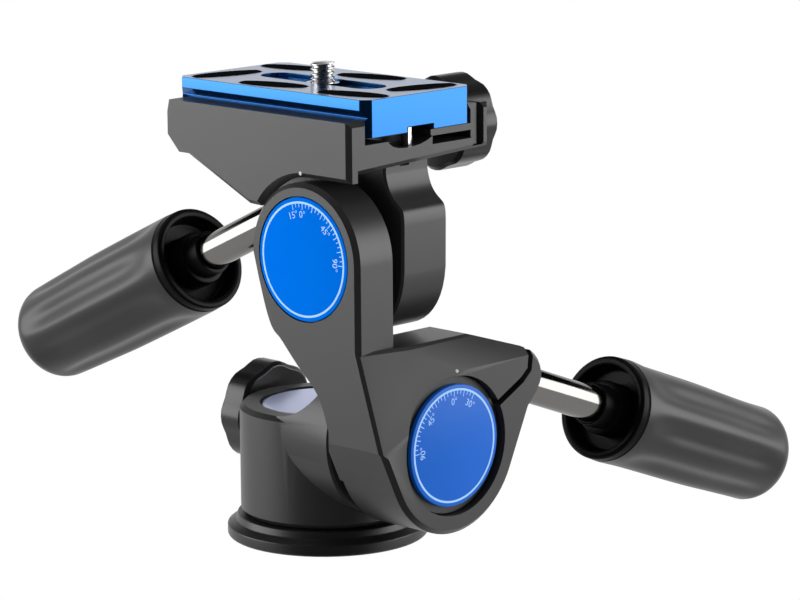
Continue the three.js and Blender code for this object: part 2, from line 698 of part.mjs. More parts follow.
function addHandle(prefix, place, stemLength) {
  const handle = new THREE.Group();
  handle.position.copy(place.start);
  handle.quaternion.copy(place.turn);
  head.add(handle);
  const stemEnd = stemLength + gripCupDepth + stemEmbed - runGap;
  add(`${prefix}_handle_stem`, turned([
    [0, -threadedLength], [threadedRadius - edgeBreak, -threadedLength],
    [threadedRadius, edgeBreak - threadedLength], [threadedRadius, 0], [stemRadius - runGap, 0],
    [stemRadius, runGap], [stemRadius, stemEnd], [0, stemEnd],
  ], "z", middle, smallSides), darkSteel, handle);
  const collarHigh = stemLength + gripCupDepth - runGap;
  const collarLow = stemLength - collarProud;
  const noseLow = collarLow - collarNoseLength;
  add(`${prefix}_handle_collar`, turned([
    [stemRadius + runGap, noseLow], [collarNose - runGap, noseLow], [collarNose, noseLow + runGap],
    [collarNose, collarLow], [collarRadius - edgeBreak, collarLow],
    [collarRadius, collarLow + edgeBreak], [collarRadius, collarHigh],
    [stemRadius + runGap, collarHigh], [stemRadius + runGap, noseLow],
  ], "z", middle, smallSides), plastic, handle);
  const grip = add(`${prefix}_handle_grip`, gripSolid(), rubber, handle);
  grip.position.z = stemLength;
}

addHandle("lower", lowerPlace, lowerStemLength);
addHandle("upper", upperPlace, upperStemLength);

// Heights of the platform and the plate over the base
const lugShoulder = pivotHeight + lugShoulderRise;
const skirtLow = pivotHeight + skirtLowRise;
const skirtFrontLow = pivotHeight + skirtFrontRise;
const skirtHeel = pivotHeight + skirtHeelRise;
const floorLow = pivotHeight + floorLowRise;
const floorTop = pivotHeight + floorTopRise;
const tongueFloor = pivotHeight + tongueFloorRise;
const jawTop = pivotHeight + jawTopRise;
const cheekTop = pivotHeight + cheekTopRise;
const notchFloor = pivotHeight + notchFloorRise;
const jawLow = pivotHeight + jawLowRise;
const clampHeight = pivotHeight + clampRise;
const guideHeight = pivotHeight + guideRise;
const safetyLow = pivotHeight + safetyLowRise;
const safetyTop = pivotHeight + safetyTopRise;
const plateTop = pivotHeight + plateTopRise;
const plateBottom = plateTop - plateThickness;

// Platform
const jawSlope = (lipDrop - neckDrop) / dovetailNeck;
const plateHalf = plateWidth / 2;
const jawLipDrop = plateTop - jawTop - neckDrop;
const jawTipHalf = plateHalf - dovetailNeck + jawLipDrop / jawSlope + runGap * 1.4;
const jawInner = plateHalf + runGap * 1.2;
const jawLipLow = jawTop - (jawInner - jawTipHalf) * jawSlope;
const cheekInner = cheekOuter - cheekWall;
const floorLowAt = (y) => floorLow + (floorSlope * (y - skirtFace)) / (cheekOuter - skirtFace);
const channel = prism([
  [skirtFace, floorLowAt(skirtFace)], [cheekOuter, floorLowAt(cheekOuter)],
  [cheekOuter, cheekTop], [skirtFace, jawTop],
], platformBack, platformFront, "x", bodyChamfer)
  .subtract(prism([
    [-jawInner, floorTop], [cheekInner, floorTop], [cheekInner, plateTop], [-jawTipHalf, plateTop],
    [-jawTipHalf, jawTop], [-jawInner, jawLipLow],
  ], platformBack - cutOver, platformFront + cutOver, "x"));
const skirt = prism([
  [platformFront, jawTop - bodyChamfer], [platformBack, jawTop - bodyChamfer],
  [platformBack, skirtHeel + skirtHeelInset],
  [platformBack + skirtHeelInset / 3, skirtHeel + skirtHeelInset / 4],
  [platformBack + skirtHeelInset, skirtHeel], [skirtTip, skirtLow],
  ...arc(pivotX, pivotHeight, skirtClearRadius, 146, 90, 10).slice(0, -1),
  [pivotX, skirtFrontLow], [platformFront, skirtFrontLow],
], skirtFace, skirtFace + skirtWall, "y", bodyChamfer);

const bossNormal = new THREE.Vector3(Math.sin(upperDown), 0, -Math.cos(upperDown));
const bossFace = upperPlace.start.clone().addScaledVector(upperAway, -runGap);
const bossLow = bossFace.clone().addScaledVector(bossNormal, bossReach);
const bossHigh = bossFace.clone().addScaledVector(bossNormal, -bossReach);
const lugPower = 2 / lugRoundness;
const lugLowShares = arc(0, 0, 1, 0, 90, 12).slice(1)
  .map(([u, v]) => [Math.max(u, 0) ** lugPower, -(v ** lugPower)]);
const lugRight = lugLowShares.map(([u, v]) => [pivotX + u * lugHalf, pivotHeight + v * lugDepth]);
const lugLeft = lugLowShares.slice(0, -1).map(([u, v]) => [pivotX - u * lugHalf, pivotHeight + v * lugDepth]);
const neckShares = [[1, -0.35], [0.975, -0.1], [0.87, 0.05], [0.68, 0.14], [0.42, 0.27], [0.22, 0.43],
  [0.1, 0.6], [0.03, 0.75], [0, 0.86]];
const neckSteps = 18;
const neckRise = floorLow - lugShoulder;
const neckWidth = lugHalf - lugNeckHalf;
const neckEdge = new THREE.SplineCurve(neckShares.map(([u, v]) => new THREE.Vector2(
  pivotX + lugNeckHalf + u * neckWidth, lugShoulder + v * neckRise))).getPoints(neckSteps);
const lugOutline = [
  [bossHigh.x, floorTop - cutOver], [bossHigh.x, bossHigh.z], [bossLow.x, bossLow.z],
  ...lugLeft,
  ...lugRight.reverse(),
  ...neckEdge.map((point) => [point.x, point.y]),
  [pivotX + lugNeckHalf, floorTop - cutOver],
];
const lug = prism(lugOutline, lugNear, lugFar, "y", edgeBreak);
const lugBore = axleRadius + runGap;
const slotTurn = 90 + upperDip;
const splitFrom = arc(pivotX, pivotHeight, axleRadius - cutOver, slotTurn, slotTurn, 1)[0];
const splitHeight = floorLow - slotWidth;
const splitRise = (splitHeight - pivotHeight) / Math.cos(upperDown);
const splitTurn = arc(pivotX, pivotHeight, splitRise, slotTurn, slotTurn, 1)[0];
const lugSplit = prism(strip([splitFrom, splitTurn], slotWidth), lugNear - cutOver, lugFar + cutOver, "y")
  .add(block(bossHigh.x - cutOver, splitTurn[0] + slotWidth / 2, lugNear - cutOver, lugFar + cutOver,
    splitHeight - slotWidth / 2, splitHeight + slotWidth / 2));
const clampCentre = [clampX, 0, clampHeight];
const clampHole = clampScrewRadius + runGap;
const heelPoint = new THREE.Vector3(platformBack, 0, skirtHeel + skirtHeelInset);
const heelNormal = new THREE.Vector3(-(jawTop - heelPoint.z), 0, heelLean);
const underHeel = new THREE.Vector3(-1, 0, -1);
const jawNear = plateHalf + runGap * 1.2;
const jawFar = jawNear + jawWall;
const tongueEndFront = platformFront - bodyChamfer;
const tongueEndBack = platformBack + bodyChamfer + heelLean;
const frontTongueStart = tongueEndFront - tongueLength;
const backTongueEnd = tongueEndBack + tongueLength;
const guidePins = [guideX, -guideX].map((x) => [x, 0, guideHeight]);
const trayClear = 2 * runGap;
const notchShares = [[0, 1], [0.03, 0.7], [0.1, 0.36], [0.22, 0.1], [0.36, 0], [0.52, 0.02], [0.7, 0.16],
  [0.86, 0.45], [0.96, 0.78], [1, 1]];
const notch = prism([
  ...notchShares.map(([u, v]) => [notchNear + u * (notchFar - notchNear),
    notchFloor + v * (floorTop - notchFloor)]),
  [notchFar, jawTop], [notchNear, jawTop],
], platformFront - notchDepth, platformFront + cutOver, "x");
let platform = channel
  .add(skirt)
  .subtract(beyond(heelPoint, heelNormal))
  .subtract(beyond(heelPoint, underHeel))
  .add(lug)
  .subtract(block(platformBack - cutOver, platformFront + cutOver, jawNear - runGap, cheekInner,
    jawLow - runGap, cheekTop))
  .subtract(block(frontTongueStart - trayClear, platformFront + cutOver, tongueNear - trayClear, cheekInner,
    tongueFloor, cheekTop))
  .subtract(block(platformBack - cutOver, backTongueEnd + trayClear, tongueNear - trayClear, cheekInner,
    tongueFloor, cheekTop))
  .subtract(notch)
  .subtract(rod(lugBore, lugNear - cutOver, lugFar + cutOver, "y", pivotCentre))
  .subtract(lugSplit)
  .subtract(handleBar(threadHole, -threadedLength - runGap, cutOver, upperPlace))
  .subtract(rod(clampHole, cheekInner - cutOver, cheekOuter + cutOver, "y", clampCentre, smallSides))
  .subtract(rod(safetyRadius + runGap, safetyLow - safetyTravel - runGap, floorTop, "z",
    [safetyX, safetyY, 0], smallSides));
guidePins.forEach((centre) => {
  platform = platform.subtract(rod(guideRadius + runGap, cheekInner - guideLength - runGap, cheekInner, "y",
    centre, smallSides));
});
add("platform", platform, black);

// Movable jaw: an upright with a dovetail lip, and a tongue under the plate at each end
let jaw = prism([
  [jawNear, jawLow], [jawFar, jawLow], [jawFar, cheekTop], [jawTipHalf, cheekTop], [jawTipHalf, jawTop],
  [jawNear, jawLipLow],
], tongueEndBack, tongueEndFront, "x");
const tongueHigh = plateBottom - runGap;
const tongueLow = tongueHigh - tongueThickness;
jaw = jaw
  .add(block(frontTongueStart, tongueEndFront, tongueNear, jawFar, tongueLow, tongueHigh))
  .add(block(tongueEndBack, backTongueEnd, tongueNear, jawFar, tongueLow, tongueHigh))
  .subtract(rod(clampHole, jawFar - clampScrewTip - runGap, jawFar + cutOver, "y", clampCentre, smallSides));
guidePins.forEach((centre) => {
  jaw = jaw.subtract(rod(guideRadius + runGap, 0, farReach, "y", centre, smallSides));
});
add("clamp_jaw", jaw, black);
add("clamp_guide_pin_front", rod(guideRadius, cheekInner - guideLength, cheekInner - runGap, "y",
  guidePins[0], smallSides / 2), steel);
add("clamp_guide_pin_back", rod(guideRadius, cheekInner - guideLength, cheekInner - runGap, "y",
  guidePins[1], smallSides / 2), steel);
const clampKnob = new THREE.Group();
clampKnob.position.set(clampX, cheekOuter + runGap, clampHeight);
clampKnob.quaternion.setFromUnitVectors(zAxis, yAxis);
head.add(clampKnob);
const clampHold = clampKnobLength - knobBevel;
const clampReach = cheekOuter + runGap - jawFar + clampScrewTip;
add("clamp_screw", rod(clampScrewRadius, -clampReach, clampHold - runGap, "z", middle, smallSides, runGap),
  steel, clampKnob);
add("clamp_knob", lobedKnob(clampKnobRadius, clampKnobLength, clampHole, clampHold), plastic, clampKnob);
add("safety_pin", rod(safetyRadius, safetyLow, safetyTop, "z", [safetyX, safetyY, 0], smallSides, runGap),
  steel);

// Quick release plate
const halfLength = plateLength / 2;
const slabLow = plateTop - slabThickness;
const neckHalf = plateHalf - dovetailNeck;
const neckZ = plateTop - neckDrop;
const lipZ = plateTop - lipDrop;
const plateSection = [[-plateHalf, plateTop], [-plateHalf, slabLow], [-neckHalf, neckZ], [-plateHalf, lipZ],
  [-plateHalf, plateBottom], [plateHalf, plateBottom], [plateHalf, lipZ], [neckHalf, neckZ],
  [plateHalf, slabLow], [plateHalf, plateTop]];
const plateOutline = [];
[[1, -1], [1, 1], [-1, 1], [-1, -1]].forEach(([sx, sy], i) => {
  const first = [sx * halfLength, sy * (plateHalf - plateCorner)];
  const second = [sx * (halfLength - plateCorner), sy * plateHalf];
  plateOutline.push(...(i % 2 === 0 ? [second, first] : [first, second]));
});
const padPlaces = [
  { name: "front_end", xShare: 0.8, yShare: 0.4, turn: 77 },
  { name: "back_end", xShare: -0.8, yShare: -0.4, turn: 77 },
  { name: "near_front", xShare: 0.68, yShare: -0.65, turn: 13 },
  { name: "near_back", xShare: -0.12, yShare: -0.7, turn: 13 },
  { name: "far_front", xShare: 0.12, yShare: 0.7, turn: 13 },
  { name: "far_back", xShare: -0.68, yShare: 0.65, turn: 13 },
];
const padHalf = padLength / 2;
const stepLow = plateTop - slotStepDepth;
let plate = prism(plateSection, -halfLength, halfLength, "x")
  .intersect(prism(plateOutline, 0, farReach, "z"))
  .subtract(block(-farReach, farReach, bottomGrooveNear, bottomGrooveFar, 0, plateBottom + bottomGrooveDepth))
  .subtract(prism(stadium(slotHalfLength, slotHalfWidth, 0, 0, 0), 0, farReach, "z"))
  .subtract(prism(stadium(slotHalfLength + slotStep, slotHalfWidth + slotStep, 0, 0, 0), stepLow, farReach,
    "z"))
  .subtract(prism(stadium(slotHalfLength + headPocketHalf - slotHalfWidth, headPocketHalf, 0, 0, 0), 0,
    plateBottom + headPocketDepth, "z"));
padPlaces.forEach(({ name, xShare, yShare, turn }) => {
  const [x, y] = [xShare * halfLength, yShare * plateHalf];
  plate = plate.subtract(prism(leaf(padHalf + runGap, padWidth / 2 + runGap, padTip + runGap, x, y, turn),
    plateTop - padDepth - runGap, farReach, "z"));
  add(`plate_pad_${name}`, prism(leaf(padHalf, padWidth / 2, padTip, x, y, turn), plateTop - padDepth,
    plateTop + padProud, "z"), rubber);
});
add("quick_release_plate", plate, plateBlue);

// Camera screw: coin-slot head in the pocket, thread through the slot, clip above the step
const headHigh = plateBottom + headPocketDepth - runGap;
const headLow = headHigh - cameraHeadHeight;
const clipLow = stepLow + runGap;
const rootRadius = cameraScrewRadius - cameraThreadDepth;
const threadStart = clipLow - runGap;
const threadEnd = plateTop + cameraScrewTop;
const threadProfile = [[0, headLow], [cameraHeadRadius, headLow], [cameraHeadRadius, headHigh],
  [rootRadius, headHigh], [rootRadius, threadStart]];
const turns = Math.floor((threadEnd - threadStart - cameraPitch) / cameraPitch);
for (let i = 0; i < turns; i += 1) {
  const low = threadStart + i * cameraPitch;
  threadProfile.push([rootRadius, low + cameraPitch * 0.1], [cameraScrewRadius, low + cameraPitch * 0.45],
    [cameraScrewRadius, low + cameraPitch * 0.6], [rootRadius, low + cameraPitch * 0.95]);
}
threadProfile.push([rootRadius, threadEnd], [0, threadEnd]);
const cameraScrew = turned(threadProfile, "z", middle, 20)
  .subtract(block(-cameraHeadRadius - cutOver, cameraHeadRadius + cutOver, -coinSlotWidth / 2,
    coinSlotWidth / 2, headLow - cutOver, headLow + coinSlotDepth));
add("camera_screw", cameraScrew, steel);
add("camera_screw_clip", tube(cameraScrewRadius + runGap / 2, cameraScrewRadius + clipWidth, clipLow,
  clipLow + clipThickness, "z", middle, smallSides), darkSteel);

export default head;
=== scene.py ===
import json
import math

import bmesh
import bpy
from mathutils import Matrix, Vector


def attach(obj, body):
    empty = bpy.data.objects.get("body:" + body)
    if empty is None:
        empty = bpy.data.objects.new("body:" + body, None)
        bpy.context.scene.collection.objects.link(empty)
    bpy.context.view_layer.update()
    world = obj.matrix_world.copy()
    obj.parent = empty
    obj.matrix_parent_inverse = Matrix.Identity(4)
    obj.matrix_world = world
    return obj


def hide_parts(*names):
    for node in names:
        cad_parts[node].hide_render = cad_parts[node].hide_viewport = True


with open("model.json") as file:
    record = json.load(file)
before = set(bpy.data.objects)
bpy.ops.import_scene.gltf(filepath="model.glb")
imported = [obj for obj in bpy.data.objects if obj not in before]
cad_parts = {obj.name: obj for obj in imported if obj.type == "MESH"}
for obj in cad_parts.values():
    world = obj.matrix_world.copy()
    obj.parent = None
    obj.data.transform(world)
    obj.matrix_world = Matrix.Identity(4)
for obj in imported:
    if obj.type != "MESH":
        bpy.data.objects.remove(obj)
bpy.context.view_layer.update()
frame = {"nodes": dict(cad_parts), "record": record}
mm = 0.001
fullTurn = 2 * math.pi


def millimetres(*values):
    return Vector([value * mm for value in values])


# Camera, fitted to the photograph's angle
cameraView = {
    "place": millimetres(649.22, -628.63, 242.69),
    "azimuth": 44.69,
    "elevation": 11.30,
    "roll": -0.45,
    "lens": 158.9,
    "sensor": 36,
}


def addCamera():
    data = bpy.data.cameras.new("photoCamera")
    data.lens = cameraView["lens"]
    data.sensor_fit = "HORIZONTAL"
    data.sensor_width = cameraView["sensor"]
    camera = bpy.data.objects.new("photoCamera", data)
    bpy.context.collection.objects.link(camera)
    turn = Matrix.Rotation(math.radians(cameraView["azimuth"]), 4, "Z")
    turn = turn @ Matrix.Rotation(math.radians(90 - cameraView["elevation"]), 4, "X")
    turn = turn @ Matrix.Rotation(math.radians(cameraView["roll"]), 4, "Z")
    camera.matrix_world = Matrix.Translation(cameraView["place"]) @ turn
    bpy.context.scene.camera = camera


# Helpers for meshes
def addObject(name, mesh, material):
    data = bpy.data.meshes.new(name)
    mesh.to_mesh(data)
    mesh.free()
    made = bpy.data.objects.new(name, data)
    bpy.context.collection.objects.link(made)
    paint(made, material)
    return made


def paint(target, material):
    target.data.materials.clear()
    target.data.materials.append(material)


def addChain(mesh, spots):
    verts = [mesh.verts.new(spot) for spot in spots]
    for first, second in zip(verts, verts[1:]):
        mesh.edges.new((first, second))
    return verts


# Shader helpers
def newTree(material):
    material.use_nodes = True
    tree = material.node_tree
    tree.nodes.clear()
    return tree


def addNode(tree, kind, **values):
    node = tree.nodes.new(kind)
    for name, value in values.items():
        setattr(node, name, value)
    return node


# Fine grain, broad clouds and their mean, as values
def makeGrainGroup():
    tree = bpy.data.node_groups.new("surfaceGrain", "ShaderNodeTree")
    for name in ("Fine", "Broad", "Stretch"):
        socket = tree.interface.new_socket(name, in_out="INPUT", socket_type="NodeSocketFloat")
        socket.default_value = 1
    for name in ("Grain", "Cloud", "Both"):
        tree.interface.new_socket(name, in_out="OUTPUT", socket_type="NodeSocketFloat")
    take = addNode(tree, "NodeGroupInput")
    give = addNode(tree, "NodeGroupOutput")
    place = addNode(tree, "ShaderNodeTexCoord")
    scale = addNode(tree, "ShaderNodeCombineXYZ")
    tree.links.new(take.outputs["Stretch"], scale.inputs["X"])
    tree.links.new(take.outputs["Stretch"], scale.inputs["Y"])
    scale.inputs["Z"].default_value = 1
    stretched = addNode(tree, "ShaderNodeVectorMath", operation="MULTIPLY")
    tree.links.new(place.outputs["Object"], stretched.inputs[0])
    tree.links.new(scale.outputs[0], stretched.inputs[1])
    both = addNode(tree, "ShaderNodeMath", operation="ADD")
    for slot, (socket, output, detail) in enumerate((("Fine", "Grain", 3), ("Broad", "Cloud", 2))):
        size = addNode(tree, "ShaderNodeMath", operation="DIVIDE")
        size.inputs[0].default_value = 1
        tree.links.new(take.outputs[socket], size.inputs[1])
        noise = addNode(tree, "ShaderNodeTexNoise")
        noise.inputs["Detail"].default_value = detail
        tree.links.new(stretched.outputs[0], noise.inputs["Vector"])
        tree.links.new(size.outputs[0], noise.inputs["Scale"])
        tree.links.new(noise.outputs["Fac"], give.inputs[output])
        tree.links.new(noise.outputs["Fac"], both.inputs[slot])
    half = addNode(tree, "ShaderNodeMath", operation="MULTIPLY")
    half.inputs[1].default_value = 0.5
    tree.links.new(both.outputs[0], half.inputs[0])
    tree.links.new(half.outputs[0], give.inputs["Both"])
    return tree


# The rings that a lathe leaves about a centre
def makeTurnedGroup():
    tree = bpy.data.node_groups.new("turnedRings", "ShaderNodeTree")
    tree.interface.new_socket("Pitch", in_out="INPUT", socket_type="NodeSocketFloat")
    tree.interface.new_socket("Centre", in_out="INPUT", socket_type="NodeSocketVector")
    tree.interface.new_socket("Rings", in_out="OUTPUT", socket_type="NodeSocketFloat")
    take = addNode(tree, "NodeGroupInput")
    give = addNode(tree, "NodeGroupOutput")
    place = addNode(tree, "ShaderNodeTexCoord")
    reach = addNode(tree, "ShaderNodeVectorMath", operation="DISTANCE")
    tree.links.new(place.outputs["Object"], reach.inputs[0])
    tree.links.new(take.outputs["Centre"], reach.inputs[1])
    turns = addNode(tree, "ShaderNodeMath", operation="DIVIDE")
    tree.links.new(reach.outputs["Value"], turns.inputs[0])
    tree.links.new(take.outputs["Pitch"], turns.inputs[1])
    wave = addNode(tree, "ShaderNodeMath", operation="PINGPONG")
    wave.inputs[1].default_value = 1
    tree.links.new(turns.outputs[0], wave.inputs[0])
    tree.links.new(wave.outputs[0], give.inputs["Rings"])
    return tree


grainGroup = makeGrainGroup()
ringGroup = makeTurnedGroup()


def makeFinish(name, look):
    material = bpy.data.materials.new(name)
    tree = newTree(material)
    link = tree.links.new
    output = addNode(tree, "ShaderNodeOutputMaterial")
    shader = addNode(tree, "ShaderNodeBsdfPrincipled")
    link(shader.outputs[0], output.inputs["Surface"])
    shader.inputs["Metallic"].default_value = look.get("metal", 0)
    shader.inputs["Specular IOR Level"].default_value = look.get("specular", 0.5)
    shader.inputs["Coat Weight"].default_value = look.get("coat", 0)
    shader.inputs["Coat Roughness"].default_value = look.get("coatRoughness", 0.1)
    shader.inputs["Sheen Weight"].default_value = look.get("sheen", 0)
    grain = addNode(tree, "ShaderNodeGroup", node_tree=grainGroup)
    grain.inputs["Fine"].default_value = look["fine"]
    grain.inputs["Broad"].default_value = look["broad"]
    grain.inputs["Stretch"].default_value = look.get("stretch", 1)
    tint = addNode(tree, "ShaderNodeMix", data_type="RGBA")
    tint.inputs["A"].default_value = (*look["dark"], 1)
    tint.inputs["B"].default_value = (*look["pale"], 1)
    link(grain.outputs["Both"], tint.inputs["Factor"])
    link(tint.outputs["Result"], shader.inputs["Base Color"])
    gloss = addNode(tree, "ShaderNodeMapRange")
    gloss.inputs["To Min"].default_value = look["roughness"][0]
    gloss.inputs["To Max"].default_value = look["roughness"][1]
    link(grain.outputs["Cloud"], gloss.inputs["Value"])
    link(gloss.outputs["Result"], shader.inputs["Roughness"])
    bump = addNode(tree, "ShaderNodeBump")
    bump.inputs["Strength"].default_value = look["bump"]
    bump.inputs["Distance"].default_value = look["relief"]
    if "centre" in look:
        rings = addNode(tree, "ShaderNodeGroup", node_tree=ringGroup)
        rings.inputs["Pitch"].default_value = look["pitch"]
        rings.inputs["Centre"].default_value = look["centre"]
        link(rings.outputs["Rings"], bump.inputs["Height"])
    else:
        link(grain.outputs["Grain"], bump.inputs["Height"])
    link(bump.outputs["Normal"], shader.inputs["Normal"])
    return material


# Lengths in metres: fine and broad are the grain's sizes, relief is the bump's depth
looks = {
    "blackPaint": {"dark": (0.017, 0.0168, 0.0172), "pale": (0.024, 0.0236, 0.024), "roughness": (0.36, 0.42),
                   "fine": 0.00035, "broad": 0.02, "bump": 0.3, "relief": 0.00004, "specular": 0.36},
    # The flange's paint is a darker copy of blackPaint: painted shade, the flange darkened in its colour
    # beyond the same black paint elsewhere
    "flangeShadedPaint": {"dark": (0.008, 0.008, 0.0083), "pale": (0.013, 0.0128, 0.0132), "roughness": (0.34, 0.4),
                    "fine": 0.00035, "broad": 0.02, "bump": 0.3, "relief": 0.00004, "specular": 0.3},
    "blackPlastic": {"dark": (0.006, 0.006, 0.0065), "pale": (0.01, 0.01, 0.0105), "roughness": (0.26, 0.34),
                     "fine": 0.0004, "broad": 0.012, "bump": 0.25, "relief": 0.00004, "specular": 0.3},
    "gripRubber": {"dark": (0.009, 0.009, 0.009), "pale": (0.015, 0.0148, 0.015), "roughness": (0.31, 0.37),
                   "fine": 0.0003, "broad": 0.015, "bump": 0.25, "relief": 0.00003, "sheen": 0.02,
                   "specular": 0.28},
    # The cup and collar plastic is real black plastic made darker and duller than blackPlastic: painted shade
    # inside the grip's cup
    "shadedCupPlastic": {"dark": (0.002, 0.002, 0.002), "pale": (0.004, 0.004, 0.004), "roughness": (0.3, 0.4),
                   "fine": 0.0004, "broad": 0.01, "bump": 0.2, "relief": 0.00003, "specular": 0.06},
    "padRubber": {"dark": (0.004, 0.004, 0.0045), "pale": (0.008, 0.008, 0.0085), "roughness": (0.8, 0.9),
                  "fine": 0.0004, "broad": 0.008, "bump": 0.5, "relief": 0.00008, "specular": 0},
    "brightSteel": {"dark": (0.5, 0.5, 0.49), "pale": (0.66, 0.66, 0.64), "roughness": (0.2, 0.32),
                    "fine": 0.0003, "broad": 0.004, "bump": 0.04, "relief": 0.00002, "stretch": 6,
                    "metal": 1},
    "darkSteel": {"dark": (0.15, 0.147, 0.142), "pale": (0.18, 0.177, 0.17), "roughness": (0.08, 0.12),
                  "fine": 0.0003, "broad": 0.006, "bump": 0.08, "relief": 0.00002, "metal": 1},
    "brassMetal": {"dark": (0.5, 0.34, 0.13), "pale": (0.66, 0.48, 0.22), "roughness": (0.25, 0.38),
                   "fine": 0.0002, "broad": 0.004, "bump": 0.15, "relief": 0.00002, "metal": 1},
    "upperDialBlue": {"dark": (0.0002, 0.14, 0.68), "pale": (0.0004, 0.165, 0.78), "roughness": (0.3, 0.38),
                      "fine": 0.0004, "broad": 0.02, "bump": 0.06, "relief": 0.00002, "specular": 0},
    "lowerDialBlue": {"dark": (0.005, 0.105, 0.5), "pale": (0.008, 0.125, 0.58), "roughness": (0.28, 0.36),
                      "fine": 0.0004, "broad": 0.02, "bump": 0.06, "relief": 0.00002, "specular": 0.12},
    "plateBlue": {"dark": (0.0004, 0.068, 0.22), "pale": (0.0006, 0.08, 0.255), "roughness": (0.2, 0.23),
                  "metal": 0.9, "fine": 0.0002, "broad": 0.012, "bump": 0.08, "relief": 0.00002,
                  "coat": 0.2, "coatRoughness": 0.2},
    "discBlue": {"dark": (0.38, 0.44, 0.7), "pale": (0.44, 0.5, 0.78), "roughness": (0.2, 0.26),
                 "metal": 0.5, "fine": 0.0003, "broad": 0.01, "bump": 0.3, "relief": 0.00002,
                 "pitch": 0.0004, "centre": (0, 0, 0.0355)},
    "printPale": {"dark": (0.28, 0.52, 0.95), "pale": (0.34, 0.6, 1.0), "roughness": (0.35, 0.45),
                  "fine": 0.0004, "broad": 0.01, "bump": 0.05, "relief": 0.00001},
    "indexPaint": {"dark": (0.42, 0.42, 0.42), "pale": (0.5, 0.5, 0.5), "roughness": (0.35, 0.45),
                   "fine": 0.0004, "broad": 0.01, "bump": 0.05, "relief": 0.00001},
}
finishes = {name: makeFinish(name, look) for name, look in looks.items()}
print("finishes ready:", len(finishes))

nodeFinishes = {
    # front_tilt_axle is in the black paint so the gap between arm and lug reads black: partly the axle's own
    # dark finish, partly painted shade of that gap
    "blackPaint": ["pan_body", "tilt_retaining_plate", "arm", "platform", "clamp_jaw", "front_tilt_axle"],
    "flangeShadedPaint": ["base_flange"],
    "blackPlastic": ["pan_brake_pad", "tilt_friction_washer", "pan_lock_knob", "clamp_knob",
                     "lower_handle_collar", "upper_handle_collar"],
    "gripRubber": ["lower_handle_grip", "upper_handle_grip"],
    "padRubber": ["plate_pad_front_end", "plate_pad_back_end", "plate_pad_near_front", "plate_pad_near_back",
                  "plate_pad_far_front", "plate_pad_far_back"],
    "brightSteel": ["pan_retaining_washer", "pan_retaining_screw", "tilt_retaining_screw", "pan_lock_screw",
                    "front_tilt_axle_screw", "front_tilt_washer", "clamp_guide_pin_front",
                    "clamp_guide_pin_back", "clamp_screw", "safety_pin", "camera_screw"],
    "darkSteel": ["front_tilt_end_screw", "lower_handle_stem", "upper_handle_stem", "camera_screw_clip"],
    "brassMetal": ["base_thread_bush"],
    "upperDialBlue": ["upper_dial"],
    "lowerDialBlue": ["lower_dial"],
    "plateBlue": ["quick_release_plate"],
    "discBlue": ["pan_top_disc"],
}
bodyOf = {node: body for body, nodes in frame["record"]["behaviour"]["bodies"].items() for node in nodes}
finishOf = {node: finishes[name] for name, nodes in nodeFinishes.items() for node in nodes}

for name, node in frame["nodes"].items():
    paint(node, finishOf[name])


# Turning a mesh into a piece that rides on a CAD body
def finishPiece(mesh, name, material, body, sharpAngle=35, replaced=()):
    for edge in mesh.edges:
        edge.smooth = edge.calc_face_angle(0) < math.radians(sharpAngle)
    for face in mesh.faces:
        face.smooth = True
    piece = addObject(name, mesh, material)
    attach(piece, body)
    if replaced:
        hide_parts(*replaced)
    return piece


# Castings and machined pieces: the CAD shape with its edges broken, widths in millimetres
edgeBreaks = {
    "arm": {"width": 0.3, "piece": "armCasting"},
    "platform": {"width": 0.22, "piece": "platformCasting"},
    "pan_body": {"width": 0.4, "piece": "panCasting"},
    "base_flange": {"width": 0.3, "piece": "baseFlange"},
    "quick_release_plate": {"width": 0.15, "piece": "dovetailPlate"},
    "clamp_jaw": {"width": 0.12, "piece": "movableJaw"},
    "pan_lock_knob": {"width": 0.35, "piece": "panKnob"},
    "clamp_knob": {"width": 0.35, "piece": "clampKnob"},
    "tilt_retaining_plate": {"width": 0.15, "piece": "dialRing"},
    "pan_top_disc": {"width": 0.15, "piece": "drumDisc"},
    "front_tilt_washer": {"width": 0.15, "piece": "axleWasher"},
    "front_tilt_axle": {"width": 0.1, "piece": "tiltAxle"},
}
padPlaces = ("front_end", "back_end", "near_front", "near_back", "far_front", "far_back")
edgeBreaks.update({f"plate_pad_{place}": {"width": 0.12, "piece": f"{place.replace('_', '')}Pad"}
                   for place in padPlaces})
refineLimits = {"merge": 0.015, "threadMerge": 0.003, "turnedMerge": 0.0015, "flatAngle": 1.2, "edgeAngle": 24,
                "sharpAngle": 50, "weight": 50}


def refineNode(node, width, piece):
    merge = refineLimits["merge"] * mm
    mesh = bmesh.new()
    mesh.from_mesh(frame["nodes"][node].data)
    bmesh.ops.remove_doubles(mesh, verts=mesh.verts, dist=merge)
    bmesh.ops.dissolve_degenerate(mesh, dist=merge, edges=mesh.edges)
    bmesh.ops.dissolve_limit(mesh, angle_limit=math.radians(refineLimits["flatAngle"]),
                             verts=mesh.verts, edges=mesh.edges)
    limit = math.radians(refineLimits["edgeAngle"])
    sharp = [edge for edge in mesh.edges if edge.calc_face_angle(0) > limit]
    bmesh.ops.bevel(mesh, geom=sharp, offset=width * mm, offset_type="OFFSET", segments=2, profile=0.5,
                    affect="EDGES", clamp_overlap=True, material=-1)
    made = finishPiece(mesh, piece, finishOf[node], bodyOf[node], refineLimits["sharpAngle"],
                       [node])
    even = made.modifiers.new("evenShade", "WEIGHTED_NORMAL")
    even.keep_sharp = True
    even.weight = refineLimits["weight"]


for node, values in edgeBreaks.items():
    refineNode(node, values["width"], values["piece"])
print("castings refined:", len(edgeBreaks))


